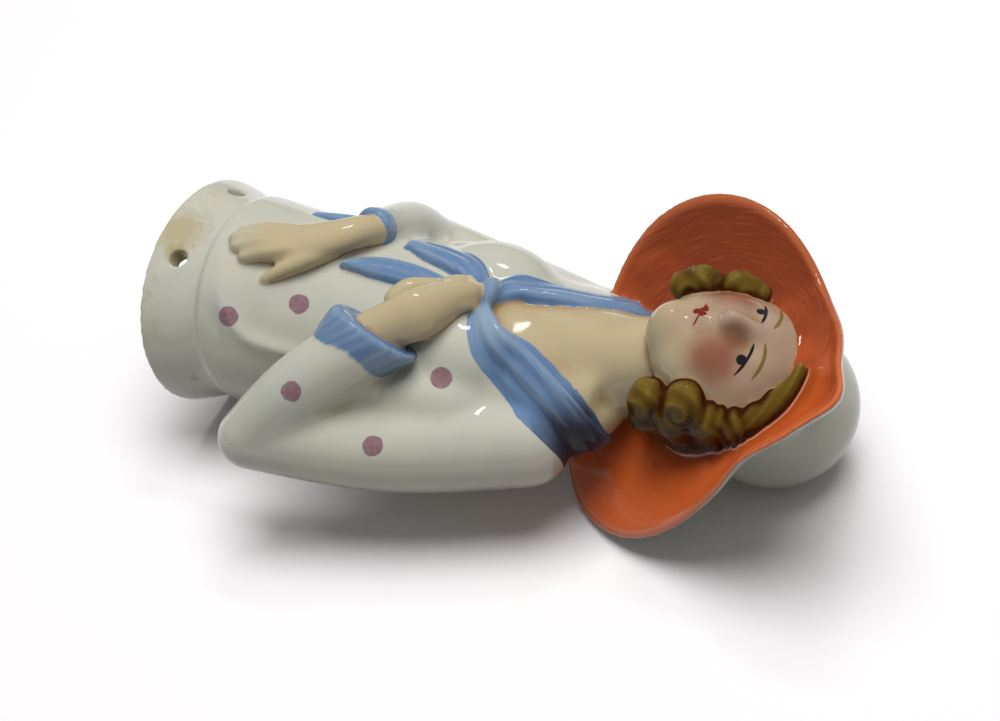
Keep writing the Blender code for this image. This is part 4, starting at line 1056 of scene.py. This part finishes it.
# angle and height of the dots on the bodice, and the places of those on the sleeves and the front
dots = {"radius": 1.55, "places": [(-30.0, 36.0), (-60.0, 18.0), (-75.0, 44.0),
                                   (150.0, 20.0), (-150.0, 34.0), (175.0, 50.0), (120.0, 40.0)],
        "sleeve": [(15.6, -10.7, 14.25), (10.9, -11.8, 24.1), (27.0, -10.5, 31.3),
                   (15.3, -7.7, 49.2), (26.5, -2.6, 42.9), (-22.0, -3.0, 47.0), (-20.5, -8.0, 30.5)]}


# where brown has crept in round a sew hole, a bruise on the flange, and the finish of the glaze
wear = {"grime": (4.5, -15.2, 0.4), "bruise": (17.9, 1.8, 6.8), "hole": (8.0, -13.4, 1.6),
        "roughness": 0.09, "bend": 1.5, "shine": 0.5, "dull": 0.4}


def glaze():
    material = bpy.data.materials.new("glazedPorcelain")
    material.use_nodes = True
    tree = material.node_tree
    shader = tree.nodes["Principled BSDF"]
    c = {k: tint(v) for k, v in paint.items()}
    place = stored(tree, "standing").outputs["Vector"]
    wander = noise(tree, place, 0.55)
    colour = blend(tree, ramp(noise(tree, place, 0.12), -0.5, 0.5), c["white"], c["whiteCool"])
    # painted shade: the white turns warmer and a little darker in the broad hollows
    colour = blend(tree, ramp(value(tree, "broadHollow"), 0.02, 0.35) * 0.5, colour, c["whiteWarmShade"])

    spots = None
    for angle, height in dots["places"]:
        gap = distanceTo(tree, place, onBody(angle, height, 0))
        spots = gap if spots is None else lesser(spots, gap)
    for point in dots["sleeve"]:
        spots = lesser(spots, distanceTo(tree, place, point))
    spots = spots + noise(tree, place, 0.5) * 0.35
    wash = 0.85 + noise(tree, place, 1.6) * 0.2
    colour = blend(tree, ramp(spots, dots["radius"] + 0.12, dots["radius"] - 0.12) * wash, colour, c["dot"])

    skinEdge = value(tree, "skinEdge") + noise(tree, place, 1.4) * 0.12
    deep = ramp(value(tree, "fineHollow"), 0.0, 0.04)
    face = combined(tree, *parts(tree, "facePlace"))
    left, forward, up = parts(tree, "facePlace")
    pale = ramp(forward + up * 0.25, 3.0, 9.0)
    flesh = blend(tree, pale, c["skin"], c["faceWhite"])
    flesh = blend(tree, deep, flesh, c["skinDeep"])
    for name in ("cheekNear", "cheekFar"):
        cheek = distanceTo(tree, face, features[name]) + wander * 0.6
        flesh = blend(tree, ramp(cheek, 5.6, 1.2) * 0.8, flesh, c["blush"])
    shade = ramp(distanceTo(tree, face, features["nose"]), 2.8, 0.8)
    flesh = blend(tree, shade * 0.75, flesh, c["noseShade"])
    # the colour thins out over the finger tips of her right hand, and painted shade browns the skin in the
    # hollows along its edges, as between the fingers
    tips = ramp(distanceTo(tree, place, onBody(14, 10.5, 0)) + wander, 7.0, 2.5)
    # painted shade: darker skin in the broad hollows near the skin's edges
    flesh = blend(tree, ramp(skinEdge, -0.9, 0.0) * ramp(value(tree, "broadHollow"), 0.0, 0.1) * 0.35,
                  flesh, c["skinDeep"])
    flesh = blend(tree, tips * 0.45, flesh, c["white"])
    colour = blend(tree, ramp(skinEdge, 0.1, -0.1), colour, flesh)

    blueEdge = value(tree, "blueEdge") + wander * 0.1
    along, across, which = parts(tree, "blueFlow")
    streak = noise(tree, combined(tree, along * 0.12, across * 1.6, which * 7.0), 1.0, 4.0)
    cloth = blend(tree, ramp(streak + value(tree, "fineHollow") * -14.0, -0.3, 1.3) * 0.75, c["blue"],
                  c["bluePale"])
    cloth = blend(tree, ramp(streak * 0.05 + value(tree, "fineHollow"), 0.0, 0.09), cloth, c["blueDeep"])
    # painted shade: the near strap turns dark indigo round one place by her neck
    shadeDistance = distanceTo(tree, place, scarf["paintedShade"]) + streak * 2.4
    cloth = blend(tree, ramp(shadeDistance, 9.5, 2.5) * 0.92, cloth, c["indigoShade"])
    thin = distanceTo(tree, place, scarf["thin"]) + streak * 2.5
    cloth = blend(tree, ramp(thin, 7.0, 2.0) * 0.7, cloth, c["bluePale"])
    colour = blend(tree, ramp(blueEdge + streak * 0.12, 0.14, -0.12), colour, cloth)

    hairEdge = value(tree, "hairEdge") - 0.12
    locks = blend(tree, ramp(value(tree, "fineHollow") * 2.0 + value(tree, "broadHollow")
                             + wander * 0.05, -0.2, 0.14),
                  c["hair"], c["hairDeep"])
    locks = blend(tree, ramp(value(tree, "fineHollow"), -0.02, -0.07) * 0.7, locks, c["hairPale"])
    # painted shade: the underside of the hair is darkened
    paintedShade = ramp(left * 0.75 - forward * 0.62 + wander * 1.2, 7.5, 11.5)
    locks = blend(tree, paintedShade * 0.85, locks, c["hairDeep"])
    colour = blend(tree, ramp(hairEdge, 0.12, -0.12), colour, locks)

    a, b, lift = parts(tree, "hatPlace")
    share = value(tree, "brimShare")
    radius = mathNode(tree, "SQRT", a * a + b * b)
    stroke = noise(tree, combined(tree, a / radius * 5.0, b / radius * 5.0, radius * 3.6), 1.0, 5.0)
    # painted shade deepens the orange towards one side of the brim, where the paint is also thicker
    orange = blend(tree, ramp(b * 0.5 - a + noise(tree, place, 0.16) * 9.0, -10.0, 20.0), c["orange"],
                   c["orangeDeep"])
    orange = blend(tree, ramp(stroke, -0.1, 0.8) * 0.32, orange, c["orangePale"])
    orange = blend(tree, ramp(stroke, -0.1, -0.8) * 0.25, orange, c["orangeDark"])
    orange = blend(tree, ramp(share + stroke * 0.02, 0.86, 0.95) * 0.5, orange, c["orangePale"])
    worn = ramp(share + stroke * 0.012, 0.985, 1.01)
    under = ramp(lift + stroke * 0.25 - worn * 0.5, -0.35, -0.1)
    hatMask = ramp(value(tree, "brimEdge") + wander * 0.1, 0.1, -0.1) * under
    # painted shade: the orange is darkened on the brim next to the hair
    orange = blend(tree, ramp(hairEdge, 3.2, 0.3) * 0.5, orange, c["orangeDark"])
    colour = blend(tree, hatMask, colour, orange)
    # a pale line along the hair where it meets the brim is painted highlight on the glaze bead there
    beadAndHighlight = ramp(absolute(hairEdge + wander * 0.2 - 0.22), 0.22, 0.06) * hatMask * ramp(left, 2.0, 5.0)
    colour = blend(tree, beadAndHighlight * 0.8, colour, c["beadAndHighlight"])

    front = ramp(forward, 5.0, 6.0)
    for side, name in ((1, "near"), (-1, "far")):
        # lash line and brow are shallow arches:
        # a height less a share of the squared distance from the middle
        eye = features[name]
        across = left * side
        for line, wide, paintedAs in (("brow", 0.3, "brow"), ("lash", 0.27, "lash")):
            middle, top, bend = eye[line]
            arch = absolute(up - (top - (across - middle) * (across - middle) * bend))
            low, high = eye[line + "From"], eye[line + "To"]
            taper = ramp(across, low - 0.3, low + 0.9) * ramp(across, high + 0.3, high - 1.4)
            mark = ramp(arch - taper * wide * 0.6, wide * 0.5, 0.0) * ramp(taper, 0.02, 0.2)
            colour = blend(tree, mark * front, colour, c[paintedAs])
        centre = (side * eye["pupil"][0], eye["pupil"][1], 0)
        pupil = ramp(distanceTo(tree, flat(tree, left, up), centre), 0.85, 0.6)
        colour = blend(tree, pupil * front, colour, c["lash"])
    spot = flat(tree, left, up)
    middle, level = features["mouth"]
    line = absolute(up - level + (left - middle) * 0.15 + 0.05)
    lips = ramp(line, 0.2, 0.06) * ramp(absolute(left - middle), 2.6, 1.9)
    for x, u, wide in ((-0.8, 0.3, 0.62), (0.35, 0.25, 0.56), (-0.25, -0.45, 0.7), (-1.45, 0.4, 0.34)):
        lips = greater(lips, ramp(distanceTo(tree, spot, (middle + x, level + u, 0)), wide + 0.1,
                                  wide - 0.1))
    colour = blend(tree, lips * front, colour, c["mouth"])

    # old glue and handling have left brown along the rim
    across, back, high = parts(tree, "standing")
    grime = ramp(distanceTo(tree, place, wear["grime"]) + noise(tree, place, 0.9, 4.0) * 3.0, 6.5, 1.0)
    rim = ramp(high + back * 0.157, 3.0, -1.5) * ramp(noise(tree, place, 0.6, 4.0), -0.1, 0.6)
    mark = ramp(distanceTo(tree, place, wear["bruise"]) + noise(tree, place, 1.5) * 0.5, 1.1, 0.4)
    colour = blend(tree, greater(greater(grime * 0.55, rim * 0.4), mark * 0.6), colour, c["stain"])
    ring = ramp(distanceTo(tree, place, wear["hole"]), 2.6, 1.5)
    colour = blend(tree, ring * 0.4, colour, c["stain"])
    speck = ramp(noise(tree, place, 1.7, 0.0), 0.78, 0.84)
    colour = blend(tree, speck * 0.5, colour, c["speck"])

    # the hair and the dark end of the strap shine less
    dull = greater(ramp(hairEdge, 0.12, -0.12), ramp(shadeDistance, 9.5, 2.5) * ramp(blueEdge, 0.12, -0.12))
    tree.links.new((wear["shine"] - dull * wear["dull"]).socket, shader.inputs["Specular IOR Level"])
    tree.links.new(colour, shader.inputs["Base Color"])
    shader.inputs["Roughness"].default_value = wear["roughness"]
    shader.inputs["IOR"].default_value = wear["bend"]
    return material


def lyingMatrix():
    # on her back, turned onto the three points she rests on, and put where the mount lies
    onBack = Matrix(((0, 0, 1), (-1, 0, 0), (0, -1, 0)))
    turned = (Matrix.Rotation(radians(-lying["roll"]), 3, "X")
              @ Matrix.Rotation(radians(-lying["pitch"]), 3, "Y")
              @ onBack)
    mount = next(m for m in frame["record"]["mounts"] if m["name"] == "base_rim")
    shift = Vector(mount["pos_m"]) - turned @ Vector((lying["mountSide"], 0, 0)) * mm
    return Matrix.Translation(shift) @ turned.to_4x4() @ Matrix.Scale(mm, 4)


def layDown(figure):
    placed = lyingMatrix()
    figure.data.transform(placed)
    figure.name = "dollCasting"
    for polygon in figure.data.polygons:
        polygon.use_smooth = True
    figure.data.materials.clear()
    figure.data.materials.append(glaze())
    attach(figure, "root")
    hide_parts("doll_casting")
    return placed


studio = {"floor": (254, 252, 253), "bounce": (168, 166, 162), "sky": 0.19,
          "soft": {"watts": 5.6, "wide": 0.66, "tall": 0.5, "away": 0.8, "turn": 80.0, "rise": 85.0},
          "glint": {"watts": 0.42, "wide": 0.16, "tall": 0.07, "away": 0.7, "turn": 96.0, "rise": 63.0}}

camera = {"turn": 44.3, "tilt": 22.0, "slope": 12.5, "across": 45.9, "along": 11.5, "away": 329.0,
          "lens": 74.05}


def buildFloor():
    mesh = bpy.data.meshes.new("floor")
    mesh.from_pydata([(-4, -4, 0), (4, -4, 0), (4, 4, 0), (-4, 4, 0)], [], [(0, 1, 2, 3)])
    floor = bpy.data.objects.new("floor", mesh)
    bpy.context.scene.collection.objects.link(floor)
    material = bpy.data.materials.new("floorPaper")
    material.use_nodes = True
    tree = material.node_tree
    shader = tree.nodes["Principled BSDF"]
    # the floor looks white, and gives the object only the light of grey paper
    path = tree.nodes.new("ShaderNodeLightPath")
    seen = Field(tree, path.outputs["Is Camera Ray"]) + Field(tree, path.outputs["Is Glossy Ray"])
    seen = lesser(seen + Field(tree, path.outputs["Is Transmission Ray"]), 1.0)
    tree.links.new(blend(tree, seen, tint(studio["bounce"]), tint(studio["floor"])),
                   shader.inputs["Base Color"])
    shader.inputs["Roughness"].default_value = 0.9
    shader.inputs["Specular IOR Level"].default_value = 0.0
    mesh.materials.append(material)


def lightUp():
    world = bpy.data.worlds.new("studio")
    bpy.context.scene.world = world
    world.use_nodes = True
    sky = world.node_tree.nodes["Background"]
    sky.inputs["Color"].default_value = (1, 1, 1, 1)
    sky.inputs["Strength"].default_value = studio["sky"]
    for name in ("soft", "glint"):
        wanted = studio[name]
        turn, rise = radians(wanted["turn"]), radians(wanted["rise"])
        away = Vector((cos(turn) * cos(rise), sin(turn) * cos(rise), sin(rise)))
        lamp = bpy.data.lights.new(name, "AREA")
        lamp.shape = "ELLIPSE"
        lamp.energy, lamp.size, lamp.size_y = wanted["watts"], wanted["wide"], wanted["tall"]
        thing = bpy.data.objects.new(name, lamp)
        thing.location = away * wanted["away"]
        across = Vector((1, 0, 0))
        up = away.cross(across).normalized()
        across = up.cross(away)
        thing.rotation_euler = Matrix((across, up, away)).transposed().to_euler()
        thing.visible_glossy = name == "glint"
        bpy.context.scene.collection.objects.link(thing)


def placeCamera(placed):
    # up is her own axis, tipped and sloped in the picture; forward is turned about it
    turn, tilt, slope = (radians(camera[k]) for k in ("turn", "tilt", "slope"))
    up = np.array([cos(tilt) * cos(slope), cos(tilt) * sin(slope), sin(tilt)])
    seen = unit(np.array([0, 0, 1.0]) - up * up[2])
    level = np.cross(up, seen)
    level = -level if level[1] < 0 else level
    forward = cos(turn) * seen - sin(turn) * level
    side = sin(turn) * seen + cos(turn) * level
    axes = np.array([side, -forward, up])
    right, down, toward = axes.T
    spot = axes @ np.array([camera["across"], camera["along"], camera["away"]])
    view = Matrix.Identity(4)
    for k in range(3):
        view[k][0], view[k][1], view[k][2], view[k][3] = right[k], -down[k], toward[k], spot[k]
    turned = placed.to_3x3().normalized() @ view.to_3x3()
    lens = bpy.data.cameras.new("camera")
    lens.sensor_width = 36
    lens.lens = camera["lens"]
    lens.clip_start, lens.clip_end = 0.01, 20
    eye = bpy.data.objects.new("camera", lens)
    eye.matrix_world = Matrix.Translation(placed @ Vector(spot)) @ turned.to_4x4()
    bpy.context.scene.collection.objects.link(eye)
    bpy.context.scene.camera = eye


report("paint")
nearGroups(figure)
for lump in lumps.values():
    bpy.data.objects.remove(lump)
writePaint(figure)
placed = layDown(figure)
report("studio")
buildFloor()
lightUp()
placeCamera(placed)
bpy.context.scene.view_settings.view_transform = "Standard"
